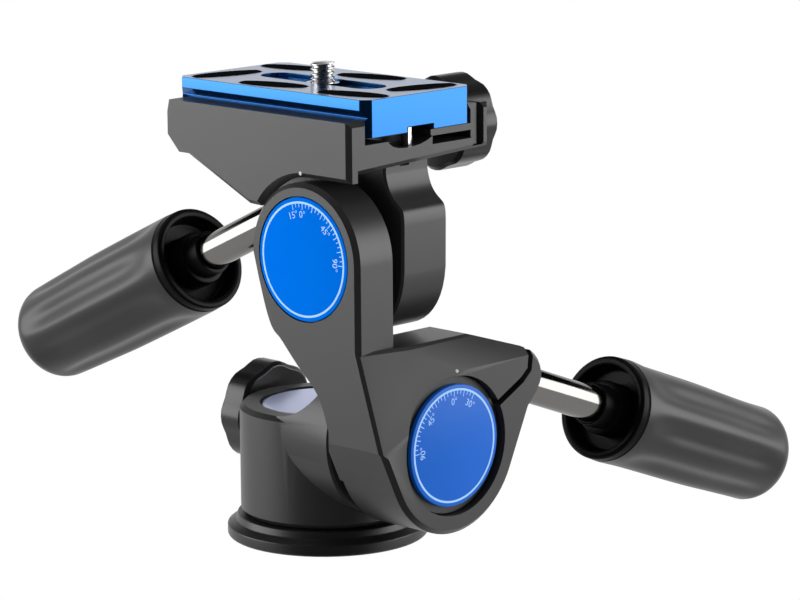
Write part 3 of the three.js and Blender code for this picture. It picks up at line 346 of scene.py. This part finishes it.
# Turned pieces: a profile of radius and height, in millimetres, spun about +Z
def spinProfile(profile, steps=96, closed=False):
    mesh = bmesh.new()
    verts = addChain(mesh, [millimetres(radius, 0, height) for radius, height in profile])
    if closed:
        mesh.edges.new((verts[-1], verts[0]))
    bmesh.ops.spin(mesh, geom=mesh.verts[:] + mesh.edges[:], cent=(0, 0, 0), axis=(0, 0, 1), angle=fullTurn,
                   steps=steps, use_merge=True)
    bmesh.ops.remove_doubles(mesh, verts=mesh.verts, dist=refineLimits["turnedMerge"] * mm)
    bmesh.ops.recalc_face_normals(mesh, faces=mesh.faces)
    return mesh


# Moving what was made about +Z to its start, turned along its own direction
def aimMesh(mesh, direction, start):
    turn = Vector((0, 0, 1)).rotation_difference(Vector(direction)).to_matrix().to_4x4()
    matrix = Matrix.Translation(Vector(start) * mm) @ turn
    bmesh.ops.transform(mesh, matrix=matrix, verts=mesh.verts)


# Handles: stem, collar and fluted grip, each about +Z from its clamp
handlePlaces = {
    "lower": {"start": (36.4, 32.5, 41.178), "away": (0, 0.934826, -0.355107), "stem": 37.7,
              "spin": 14, "body": "lower_handle"},
    "upper": {"start": (-6.8, -0.5, 86.812), "away": (-0.904083, 0, -0.427358), "stem": 45.1,
              "spin": 8, "body": "upper_handle"},
}
stemShape = {"radius": 4.75, "edge": 0.4, "edgeMiddle": (0.1, 0.12), "spigot": 3, "spigotLength": 24,
             "spigotEdge": 0.6, "embed": 30, "slack": 0.3, "steps": 72, "sharpAngle": 40}
cupShape = {"radius": 11.4, "depth": 5, "corner": 0.8, "cornerTurns": (0, 0.4, 0.8, 1.2, math.pi / 2),
            "mouth": ((12, 0.25), (12.4, 0)), "bore": 5.05, "seat": 12.4, "seatDepth": 6.5,
            "lip": ((13.65, 0), (14.08, 0.3), (14.18, 0.65), (14.25, 2.15), (13.9, 2.4)),
            "groove": (13.84, 2.8)}
gripShape = {"radius": 14.3, "length": 72, "shoulder": ((13.9, 2.95), (14.3, 3.24)), "rows": 30, "steps": 144,
             "swell": 0.012, "swellReach": 0.66, "swellPower": 0.6, "taper": 0.05, "taperFrom": 0.5,
             "taperReach": 0.41, "taperPower": 1.7, "endRound": 6.5, "endSteps": 10, "sharpAngle": 45}
fluteShape = {"count": 8, "depth": 1.25, "from": 0.09, "to": 0.93, "fade": 0.2, "risePower": 0.8,
              "hollowPower": 1.4}
collarShape = {"bore": 5.05, "nose": 5.9, "noseLength": 4.5, "radius": 7.4, "low": -1, "slack": 0.3,
               "tipRound": ((-0.4, 0), (-0.15, 0.1), (0, 0.4)), "fillet": (0.15, 0.3),
               "stepRound": ((-0.6, 0), (-0.2, 0.2), (0, 0.7))}


# The cup in the mouth of the grip: floor, wall, lip and the groove behind the lip
def cupOutline():
    values = cupShape
    corner, groove = values["corner"], values["groove"]
    inner, floor = values["radius"] - corner, values["depth"] - corner
    points = [(values["bore"], values["depth"])]
    points += [(inner + corner * math.sin(turn), floor + corner * math.cos(turn))
               for turn in values["cornerTurns"]]
    points += [*values["mouth"], *values["lip"], groove, (values["seat"], groove[1]),
               (values["seat"], values["seatDepth"]), (values["bore"], values["seatDepth"])]
    return points


# The rubber sleeve behind the groove: a slight swell, a taper and a rounded end
def gripOutline():
    values = gripShape
    radius, length, endRound = values["radius"], values["length"], values["endRound"]
    bore, seat, seatDepth, groove = (cupShape[name] for name in ("bore", "seat", "seatDepth", "groove"))
    deep = cupShape["depth"] + stemShape["embed"]
    points = [(0, deep), (bore, deep), (bore, seatDepth), (seat, seatDepth), (seat, groove[1]), groove,
              *values["shoulder"]]
    first = points[-1][1] / length
    last = 1 - endRound / length
    for row in range(1, values["rows"] + 1):
        share = first + (last - first) * row / values["rows"]
        swell = math.sin(math.pi * min(share / values["swellReach"], 1)) ** values["swellPower"]
        taper = max(0, (share - values["taperFrom"]) / values["taperReach"]) ** values["taperPower"]
        points.append(((1 + values["swell"] * swell - values["taper"] * taper) * radius, share * length))
    centre = points[-1][0] - endRound
    for step in range(1, values["endSteps"] + 1):
        turn = math.pi / 2 * step / values["endSteps"]
        points.append((centre + endRound * math.cos(turn), length - endRound + endRound * math.sin(turn)))
    points.append((0, length))
    return points


# Pressing the flutes into the sleeve, deepest at its middle
def pressFlutes(mesh, spin):
    values = fluteShape
    for vert in mesh.verts:
        reach = math.hypot(vert.co.x, vert.co.y)
        share = vert.co.z / (gripShape["length"] * mm)
        if reach > cupShape["seat"] * mm + refineLimits["merge"] * mm and share > values["from"]:
            rise = min(1, (share - values["from"]) / values["fade"])
            fall = max(0, min(1, (values["to"] - share) / values["fade"]))
            window = math.sin(rise * math.pi / 2) ** values["risePower"] * math.sin(fall * math.pi / 2)
            angle = (math.atan2(vert.co.y, vert.co.x) + math.radians(spin)) * values["count"]
            hollow = ((1 - math.cos(angle)) / 2) ** values["hollowPower"]
            scale = 1 - values["depth"] * mm * window * hollow / reach
            vert.co.x *= scale
            vert.co.y *= scale


def makeGrip(prefix, place):
    start = Vector(place["start"]) + Vector(place["away"]) * place["stem"]
    mesh = spinProfile(gripOutline(), gripShape["steps"])
    pressFlutes(mesh, place["spin"])
    aimMesh(mesh, place["away"], start)
    finishPiece(mesh, f"{prefix}Grip", finishes["gripRubber"], place["body"],
                gripShape["sharpAngle"], [f"{prefix}_handle_grip"])
    # The cup takes the shaded plastic: painted shade inside the mouth of the grip
    mesh = spinProfile(cupOutline(), gripShape["steps"], closed=True)
    aimMesh(mesh, place["away"], start)
    finishPiece(mesh, f"{prefix}Cup", finishes["shadedCupPlastic"], place["body"],
                gripShape["sharpAngle"])


def makeStem(prefix, place):
    values = stemShape
    radius, edge, spigot, low = values["radius"], values["edge"], values["spigot"], -values["spigotLength"]
    inwards, up = values["edgeMiddle"]
    end = place["stem"] + cupShape["depth"] + values["embed"] - values["slack"]
    profile = [(0, low), (spigot - values["spigotEdge"], low), (spigot, low + values["spigotEdge"]),
               (spigot, 0), (radius - edge, 0), (radius - inwards, up), (radius, edge), (radius, end - edge),
               (radius - edge, end), (0, end)]
    mesh = spinProfile(profile, values["steps"])
    aimMesh(mesh, place["away"], place["start"])
    finishPiece(mesh, f"{prefix}Stem", finishes["darkSteel"], place["body"],
                values["sharpAngle"], [f"{prefix}_handle_stem"])


def makeCollar(prefix, place):
    values = collarShape
    bore, nose, radius = values["bore"], values["nose"], values["radius"]
    low = place["stem"] + values["low"]
    tip = low - values["noseLength"]
    high = place["stem"] + cupShape["depth"] - values["slack"]
    profile = [(bore, tip)]
    profile += [(nose + out, tip + up) for out, up in values["tipRound"]]
    profile += [(nose, low - values["fillet"][1]), (nose + values["fillet"][0], low)]
    profile += [(radius + out, low + up) for out, up in values["stepRound"]]
    profile += [(radius, high), (bore, high)]
    mesh = spinProfile(profile, stemShape["steps"], closed=True)
    aimMesh(mesh, place["away"], place["start"])
    # The collar takes the shaded plastic as well, in place of blackPlastic: painted shade where it sits in the
    # cup
    finishPiece(mesh, f"{prefix}Collar", finishes["shadedCupPlastic"], place["body"],
                stemShape["sharpAngle"], [f"{prefix}_handle_collar"])


for prefix, place in handlePlaces.items():
    makeGrip(prefix, place)
    makeStem(prefix, place)
    makeCollar(prefix, place)
print("handles made")


# Dials: a turned face with a printed ring, ticks and plain scale numbers
dialPlaces = {
    "upper": {"node": "upper_dial", "centre": (19.2, -26.3, 79.1), "out": (0, -1, 0), "right": (1, 0, 0),
              "finish": "upperDialBlue", "thickness": 1.0,
              "numbers": {"15": -17, "0": 0, "45": 45, "90": 90}, "ticks": (-15, 90)},
    "lower": {"node": "lower_dial", "centre": (46.4, 0, 30.9), "out": (1, 0, 0), "right": (0, 1, 0),
              "finish": "lowerDialBlue", "thickness": 1.2,
              "numbers": {"30": 30, "0": 0, "45": -45, "90": -90}, "ticks": (-90, 30)},
}
dialShape = {"radius": 15.8, "edge": ((-0.35, 0), (-0.12, -0.06), (0, -0.3)), "steps": 128, "sharpAngle": 40}
dialPrint = {"ring": 14.5, "ringWidth": 0.55, "tickOut": 14.2, "tick": 0.9, "longTick": 1.5, "tickWidth": 0.2,
             "tickEvery": 5, "longEvery": 15, "numberRadius": 11.4, "numberSize": 2.5, "rise": 0.03,
             "lift": 0.005}


def dialMatrix(place):
    out, right = Vector(place["out"]), Vector(place["right"])
    up = out.cross(right)
    turn = Matrix((right, up, out)).transposed().to_4x4()
    return Matrix.Translation(Vector(place["centre"]) * mm) @ turn


# A spot on the dial's face, turned from the top and moved outwards
def printMatrix(place, angle, radius):
    turn = Matrix.Rotation(-math.radians(angle), 4, "Z")
    shift = Matrix.Translation(millimetres(0, radius, dialPrint["rise"] / 2 + dialPrint["lift"]))
    return dialMatrix(place) @ turn @ shift


def finishPrint(mesh, name, place):
    finishPiece(mesh, name, finishes["printPale"], bodyOf[place["node"]])


def makeDialFace(prefix, place):
    radius, depth = dialShape["radius"], place["thickness"]
    profile = [(0, 0), *[(radius + out, up) for out, up in dialShape["edge"]], (radius, -depth), (0, -depth)]
    mesh = spinProfile(profile, dialShape["steps"])
    bmesh.ops.transform(mesh, matrix=dialMatrix(place), verts=mesh.verts)
    finishPiece(mesh, f"{prefix}DialFace", finishes[place["finish"]], bodyOf[place["node"]],
                dialShape["sharpAngle"], [place["node"]])


def makeDialRing(prefix, place):
    inner = dialPrint["ring"] - dialPrint["ringWidth"] / 2
    outer = dialPrint["ring"] + dialPrint["ringWidth"] / 2
    lift, rise = dialPrint["lift"], dialPrint["rise"]
    mesh = spinProfile([(inner, lift), (inner, rise), (outer, rise), (outer, lift)], dialShape["steps"],
                       closed=True)
    bmesh.ops.transform(mesh, matrix=dialMatrix(place), verts=mesh.verts)
    finishPrint(mesh, f"{prefix}DialLine", place)


def makeTicks(prefix, place):
    mesh = bmesh.new()
    first, last = place["ticks"]
    for angle in range(first, last + 1, dialPrint["tickEvery"]):
        length = dialPrint["longTick"] if angle % dialPrint["longEvery"] == 0 else dialPrint["tick"]
        size = Matrix.Diagonal((*millimetres(dialPrint["tickWidth"], length, dialPrint["rise"]), 1))
        middle = printMatrix(place, angle, dialPrint["tickOut"] - length / 2)
        bmesh.ops.create_cube(mesh, size=1, matrix=middle @ size)
    finishPrint(mesh, f"{prefix}DialTicks", place)


def makeNumber(prefix, place, text, angle):
    curve = bpy.data.curves.new("scaleNumber", "FONT")
    curve.body = text + "°"
    curve.size = dialPrint["numberSize"] * mm
    curve.extrude = dialPrint["rise"] / 2 * mm
    curve.align_x = "CENTER"
    curve.align_y = "CENTER"
    words = bpy.data.objects.new("scaleNumber", curve)
    bpy.context.collection.objects.link(words)
    bpy.context.view_layer.update()
    flat = bpy.data.meshes.new_from_object(words.evaluated_get(bpy.context.evaluated_depsgraph_get()))
    bpy.data.objects.remove(words)
    mesh = bmesh.new()
    mesh.from_mesh(flat)
    bpy.data.meshes.remove(flat)
    middle = printMatrix(place, angle, dialPrint["numberRadius"])
    bmesh.ops.transform(mesh, matrix=middle, verts=mesh.verts)
    finishPrint(mesh, f"{prefix}DialNumber{text}", place)


for prefix, place in dialPlaces.items():
    makeDialFace(prefix, place)
    makeDialRing(prefix, place)
    makeTicks(prefix, place)
    for text, angle in place["numbers"].items():
        makeNumber(prefix, place, text, angle)
print("dials made")


# Camera screw with a true helical thread
screwShape = {"root": 2.62, "crest": 3.175, "pitch": 1.27, "low": 119.0, "high": 124.8, "stepsPerTurn": 40,
              "headRadius": 7.9, "headLow": 112.4, "headHigh": 115.5, "bevel": 0.35, "overlap": 0.02,
              "crestShares": (0.12, 0.42, 0.58, 0.88), "sharpAngle": 40}


def makeThread(values):
    root, crest, pitch, low, high = (values[name] for name in ("root", "crest", "pitch", "low", "high"))
    rise, crestStart, crestEnd, fall = values["crestShares"]
    outline = [(root, 0), (root, rise), (crest, crestStart), (crest, crestEnd), (root, fall), (root, 1)]
    mesh = bmesh.new()
    addChain(mesh, [millimetres(radius, 0, low - pitch + share * pitch) for radius, share in outline])
    turns = math.ceil((high - low) / pitch) + 2
    steps = values["stepsPerTurn"]
    bmesh.ops.spin(mesh, geom=mesh.verts[:] + mesh.edges[:], cent=(0, 0, 0), axis=(0, 0, 1),
                   dvec=millimetres(0, 0, pitch / steps), angle=fullTurn * turns, steps=steps * turns,
                   use_merge=False)
    bmesh.ops.remove_doubles(mesh, verts=mesh.verts, dist=refineLimits["threadMerge"] * mm)
    for height, outer in ((low, -1), (high, 1)):
        cut = bmesh.ops.bisect_plane(mesh, geom=mesh.verts[:] + mesh.edges[:] + mesh.faces[:],
                                     plane_co=millimetres(0, 0, height), plane_no=(0, 0, outer),
                                     clear_outer=True)
        rim = [item for item in cut["geom_cut"] if isinstance(item, bmesh.types.BMEdge)]
        bmesh.ops.edgeloop_fill(mesh, edges=rim)
    bmesh.ops.recalc_face_normals(mesh, faces=mesh.faces)
    return mesh


def makeCameraScrew():
    values = screwShape
    finishPiece(makeThread(values), "cameraScrewThread", finishes["brightSteel"], "screw",
                values["sharpAngle"], ["camera_screw"])
    radius, edge, root = values["headRadius"], values["bevel"], values["root"]
    low, high, top = values["headLow"], values["headHigh"], values["low"] + values["overlap"]
    profile = [(0, low), (radius - edge, low), (radius, low + edge), (radius, high - edge),
               (radius - edge, high), (root, high), (root, top), (0, top)]
    finishPiece(spinProfile(profile), "cameraScrewHead", finishes["brightSteel"], "screw",
                values["sharpAngle"])


makeCameraScrew()
print("camera screw made")


# Tripod thread: a brass bush with a helical ridge inside
bushShape = {"outer": 5.9, "inner": 4.55, "crest": 4.2, "low": 0.3, "high": 12.0, "pitch": 1.5875,
             "stepsPerTurn": 36, "bevel": 0.3, "steps": 72, "overlap": 0.1, "sharpAngle": 40,
             "ridgeShares": (0.1, 0.4, 0.5, 0.8)}


def makeBush():
    values = bushShape
    outer, inner, low, high, edge = (values[name] for name in ("outer", "inner", "low", "high", "bevel"))
    profile = [(inner, low + edge), (inner + edge, low), (outer - edge, low), (outer, low + edge),
               (outer, high - edge), (outer - edge, high), (inner + edge, high), (inner, high - edge)]
    mesh = spinProfile(profile, values["steps"], closed=True)
    finishPiece(mesh, "threadBush", finishes["brassMetal"], "base", values["sharpAngle"],
                ["base_thread_bush"])


# The bush's thread: one ridge that winds up inside it
def makeBushThread():
    values = bushShape
    pitch, low, high = values["pitch"], values["low"] + values["bevel"], values["high"] - values["bevel"]
    root = values["inner"] + values["overlap"]
    ridge = zip((root, values["crest"], values["crest"], root), values["ridgeShares"])
    mesh = bmesh.new()
    verts = addChain(mesh, [millimetres(radius, 0, low + share * pitch) for radius, share in ridge])
    mesh.faces.new(verts)
    turns = (high - low - pitch) / pitch
    steps = round(values["stepsPerTurn"] * turns)
    made = bmesh.ops.spin(mesh, geom=verts + mesh.edges[:], cent=(0, 0, 0), axis=(0, 0, 1),
                          angle=fullTurn * turns, dvec=millimetres(0, 0, pitch * turns / steps), steps=steps,
                          use_merge=False)
    last = [item for item in made["geom_last"] if isinstance(item, bmesh.types.BMVert)]
    bmesh.ops.contextual_create(mesh, geom=last)
    bmesh.ops.recalc_face_normals(mesh, faces=mesh.faces)
    finishPiece(mesh, "bushThread", finishes["brassMetal"], "base", values["sharpAngle"])


makeBush()
makeBushThread()


# End screw of the front tilt: a round head with a hexagonal recess
endScrewShape = {"centre": (19.2, 0, 79.1), "out": (0, 1, 0), "shank": 2.9, "shankEdge": 0.4, "head": 5.4,
                 "low": -4.2, "seat": 9.6, "high": 12.6, "edge": 0.5, "edgeMiddle": 0.15, "recess": 2.9,
                 "depth": 1.8, "steps": 60, "sharpAngle": 40}


# Six walls and a floor, sunk into the open top of a turned mesh
def sinkHexagon(mesh, radius, high, depth):
    rim = [edge for edge in mesh.edges if edge.is_boundary]
    turns = [side * fullTurn / 6 for side in range(6)]
    spots = [(radius * math.cos(turn), radius * math.sin(turn)) for turn in turns]
    top = [mesh.verts.new(millimetres(*spot, high)) for spot in spots]
    floor = [mesh.verts.new(millimetres(*spot, high - depth)) for spot in spots]
    pairs = [(side, (side + 1) % 6) for side in range(6)]
    hexagon = [mesh.edges.new((top[side], top[following])) for side, following in pairs]
    for side, following in pairs:
        mesh.faces.new((top[side], top[following], floor[following], floor[side]))
    mesh.faces.new(floor)
    bmesh.ops.triangle_fill(mesh, use_beauty=True, edges=rim + hexagon)
    bmesh.ops.recalc_face_normals(mesh, faces=mesh.faces)


def makeEndScrew():
    values = endScrewShape
    shank, head, low, high = (values[name] for name in ("shank", "head", "low", "high"))
    profile = [(0, low), (shank - values["shankEdge"], low), (shank, low + values["shankEdge"]),
               (shank, values["seat"]), (head, values["seat"]), (head, high - values["edge"]),
               (head - values["edgeMiddle"], high - values["edgeMiddle"]), (head - values["edge"], high)]
    mesh = spinProfile(profile, values["steps"])
    sinkHexagon(mesh, values["recess"], high, values["depth"])
    aimMesh(mesh, values["out"], values["centre"])
    finishPiece(mesh, "axleEndScrew", finishes["darkSteel"], "arm", values["sharpAngle"],
                ["front_tilt_end_screw"])


makeEndScrew()
print("bush and end screw made")


# Index marks: a small painted dot over each dial
indexDots = {
    "ring": {"centre": (46.6, 0.84, 50.17), "out": (1, -0.22, 0.328), "body": "arm", "radius": 0.45},
    "skirt": {"centre": (17.6, -25.3, 100.7), "out": (0, -1, 0), "body": "platform", "radius": 0.5},
}
dotShape = {"rise": 0.05, "shoulder": (0.7, 0.04), "depth": 0.2, "steps": 24}


def makeIndexDot(name, place):
    radius, depth = place["radius"], dotShape["depth"]
    share, height = dotShape["shoulder"]
    profile = [(0, dotShape["rise"]), (radius * share, height), (radius, 0), (radius, -depth), (0, -depth)]
    mesh = spinProfile(profile, dotShape["steps"])
    aimMesh(mesh, place["out"], place["centre"])
    finishPiece(mesh, f"{name}IndexDot", finishes["indexPaint"], place["body"])


for name, place in indexDots.items():
    makeIndexDot(name, place)
print("index dots made:", len(indexDots))


# Studio, in metres but for floorHeight: a pale floor, a white surround, soft boxes at the sides, above and
# behind, and black cloths that only reflections see
studio = {
    "floorHeight": -92, "floorSize": 9, "floorColour": (0.92, 0.92, 0.92), "fadeFrom": 0.06, "fadeTo": 0.2,
    "leastGlow": 0.55, "ambient": 0.3, "aimHeight": 0.06, "clothColour": (0.01, 0.01, 0.01),
    "lamps": {
        "leftBox": {"place": (-0.75, -0.8, 0.16), "size": 0.9, "power": 14},
        "rightBox": {"place": (0.8, 0.75, 0.16), "size": 0.9, "power": 13},
        "topBox": {"place": (-0.1, 0.15, 1.15), "size": 1.0, "power": 3.5},
        "backBox": {"place": (-0.75, 0.72, 0.03), "size": 0.3, "power": 6, "shines": False},
    },
    "flag": {"near": 0.03, "far": 0.62, "height": 0.75, "spread": 104, "steps": 26},
    "canopy": {"radius": 1.9, "lowest": 27, "rings": 8, "steps": 32},
}


# 1 for rays from the camera, in reflections and through glass, 0 for light that falls on things
def whiteToCamera(tree):
    rays = addNode(tree, "ShaderNodeLightPath")
    first = addNode(tree, "ShaderNodeMath", operation="MAXIMUM")
    second = addNode(tree, "ShaderNodeMath", operation="MAXIMUM")
    tree.links.new(rays.outputs["Is Camera Ray"], first.inputs[0])
    tree.links.new(rays.outputs["Is Glossy Ray"], first.inputs[1])
    tree.links.new(first.outputs[0], second.inputs[0])
    tree.links.new(rays.outputs["Is Transmission Ray"], second.inputs[1])
    return second.outputs[0]


def makeWorld():
    world = bpy.data.worlds.new("studioWorld")
    bpy.context.scene.world = world
    world.use_nodes = True
    tree = world.node_tree
    tree.nodes.clear()
    output = addNode(tree, "ShaderNodeOutputWorld")
    background = addNode(tree, "ShaderNodeBackground")
    level = addNode(tree, "ShaderNodeMapRange")
    level.inputs["To Min"].default_value = studio["ambient"]
    level.inputs["To Max"].default_value = 1
    tree.links.new(whiteToCamera(tree), level.inputs["Value"])
    tree.links.new(level.outputs["Result"], background.inputs["Strength"])
    tree.links.new(background.outputs[0], output.inputs["Surface"])
    background.inputs["Color"].default_value = (1, 1, 1, 1)


def makeFloor():
    material = bpy.data.materials.new("paleFloor")
    tree = newTree(material)
    link = tree.links.new
    output = addNode(tree, "ShaderNodeOutputMaterial")
    surface = addNode(tree, "ShaderNodeBsdfDiffuse")
    surface.inputs["Color"].default_value = (*studio["floorColour"], 1)
    glow = addNode(tree, "ShaderNodeEmission")
    place = addNode(tree, "ShaderNodeTexCoord")
    reach = addNode(tree, "ShaderNodeVectorMath", operation="LENGTH")
    link(place.outputs["Object"], reach.inputs[0])
    fade = addNode(tree, "ShaderNodeMapRange", interpolation_type="SMOOTHSTEP")
    fade.inputs["From Min"].default_value = studio["fadeFrom"]
    fade.inputs["From Max"].default_value = studio["fadeTo"]
    link(reach.outputs["Value"], fade.inputs["Value"])
    fade.inputs["To Min"].default_value = studio["leastGlow"]
    share = addNode(tree, "ShaderNodeMath", operation="MULTIPLY")
    link(fade.outputs["Result"], share.inputs[0])
    link(whiteToCamera(tree), share.inputs[1])
    blend = addNode(tree, "ShaderNodeMixShader")
    link(share.outputs[0], blend.inputs[0])
    link(surface.outputs[0], blend.inputs[1])
    link(glow.outputs[0], blend.inputs[2])
    link(blend.outputs[0], output.inputs["Surface"])
    mesh = bmesh.new()
    half = studio["floorSize"] / 2
    lower = Matrix.Translation(millimetres(0, 0, studio["floorHeight"]))
    bmesh.ops.create_grid(mesh, x_segments=1, y_segments=1, size=half, matrix=lower)
    addObject("paleFloor", mesh, material)


# Black cloths that only reflections see: one in front of the object, one overhead
def hangCloth(name, mesh):
    material = bpy.data.materials.new(name)
    tree = newTree(material)
    output = addNode(tree, "ShaderNodeOutputMaterial")
    surface = addNode(tree, "ShaderNodeBsdfDiffuse")
    surface.inputs["Color"].default_value = (*studio["clothColour"], 1)
    tree.links.new(surface.outputs[0], output.inputs["Surface"])
    cloth = addObject(name, mesh, material)
    cloth.visible_camera = False
    cloth.visible_shadow = False
    cloth.visible_diffuse = False


def spinCloth(spots, angle, steps, merge):
    mesh = bmesh.new()
    verts = addChain(mesh, spots)
    bmesh.ops.rotate(mesh, cent=(0, 0, 0), matrix=Matrix.Rotation(-angle / 2, 3, "Z"), verts=verts)
    bmesh.ops.spin(mesh, geom=mesh.verts[:] + mesh.edges[:], cent=(0, 0, 0), axis=(0, 0, 1), angle=angle,
                   steps=steps, use_merge=merge)
    return mesh


def makeFlag():
    values = studio["flag"]
    towards = Vector((cameraView["place"].x, cameraView["place"].y, 0)).normalized()
    low = Vector((0, 0, (studio["floorHeight"] + 1) * mm))
    spots = [towards * values["near"] + low, towards * values["far"] + low,
             towards * values["far"] + Vector((0, 0, values["height"]))]
    hangCloth("blackFlag", spinCloth(spots, math.radians(values["spread"]), values["steps"], False))


def makeCanopy():
    values = studio["canopy"]
    spots = []
    for ring in range(values["rings"] + 1):
        rise = math.radians(values["lowest"] + (90 - values["lowest"]) * ring / values["rings"])
        spots.append(Vector((values["radius"] * math.cos(rise), 0, values["radius"] * math.sin(rise))))
    hangCloth("blackCanopy", spinCloth(spots, fullTurn, values["steps"], True))


def addLamps():
    for name, values in studio["lamps"].items():
        data = bpy.data.lights.new(name, "AREA")
        data.shape = "SQUARE"
        data.size = values["size"]
        data.energy = values["power"]
        lamp = bpy.data.objects.new(name, data)
        bpy.context.collection.objects.link(lamp)
        lamp.visible_glossy = values.get("shines", True)
        place = Vector(values["place"])
        aim = Vector((0, 0, studio["aimHeight"])) - place
        turn = aim.to_track_quat("-Z", "Y").to_matrix().to_4x4()
        lamp.matrix_world = Matrix.Translation(place) @ turn


addCamera()
makeWorld()
makeFloor()
makeFlag()
makeCanopy()
addLamps()
bpy.context.scene.view_settings.view_transform = "Standard"
print("studio ready")
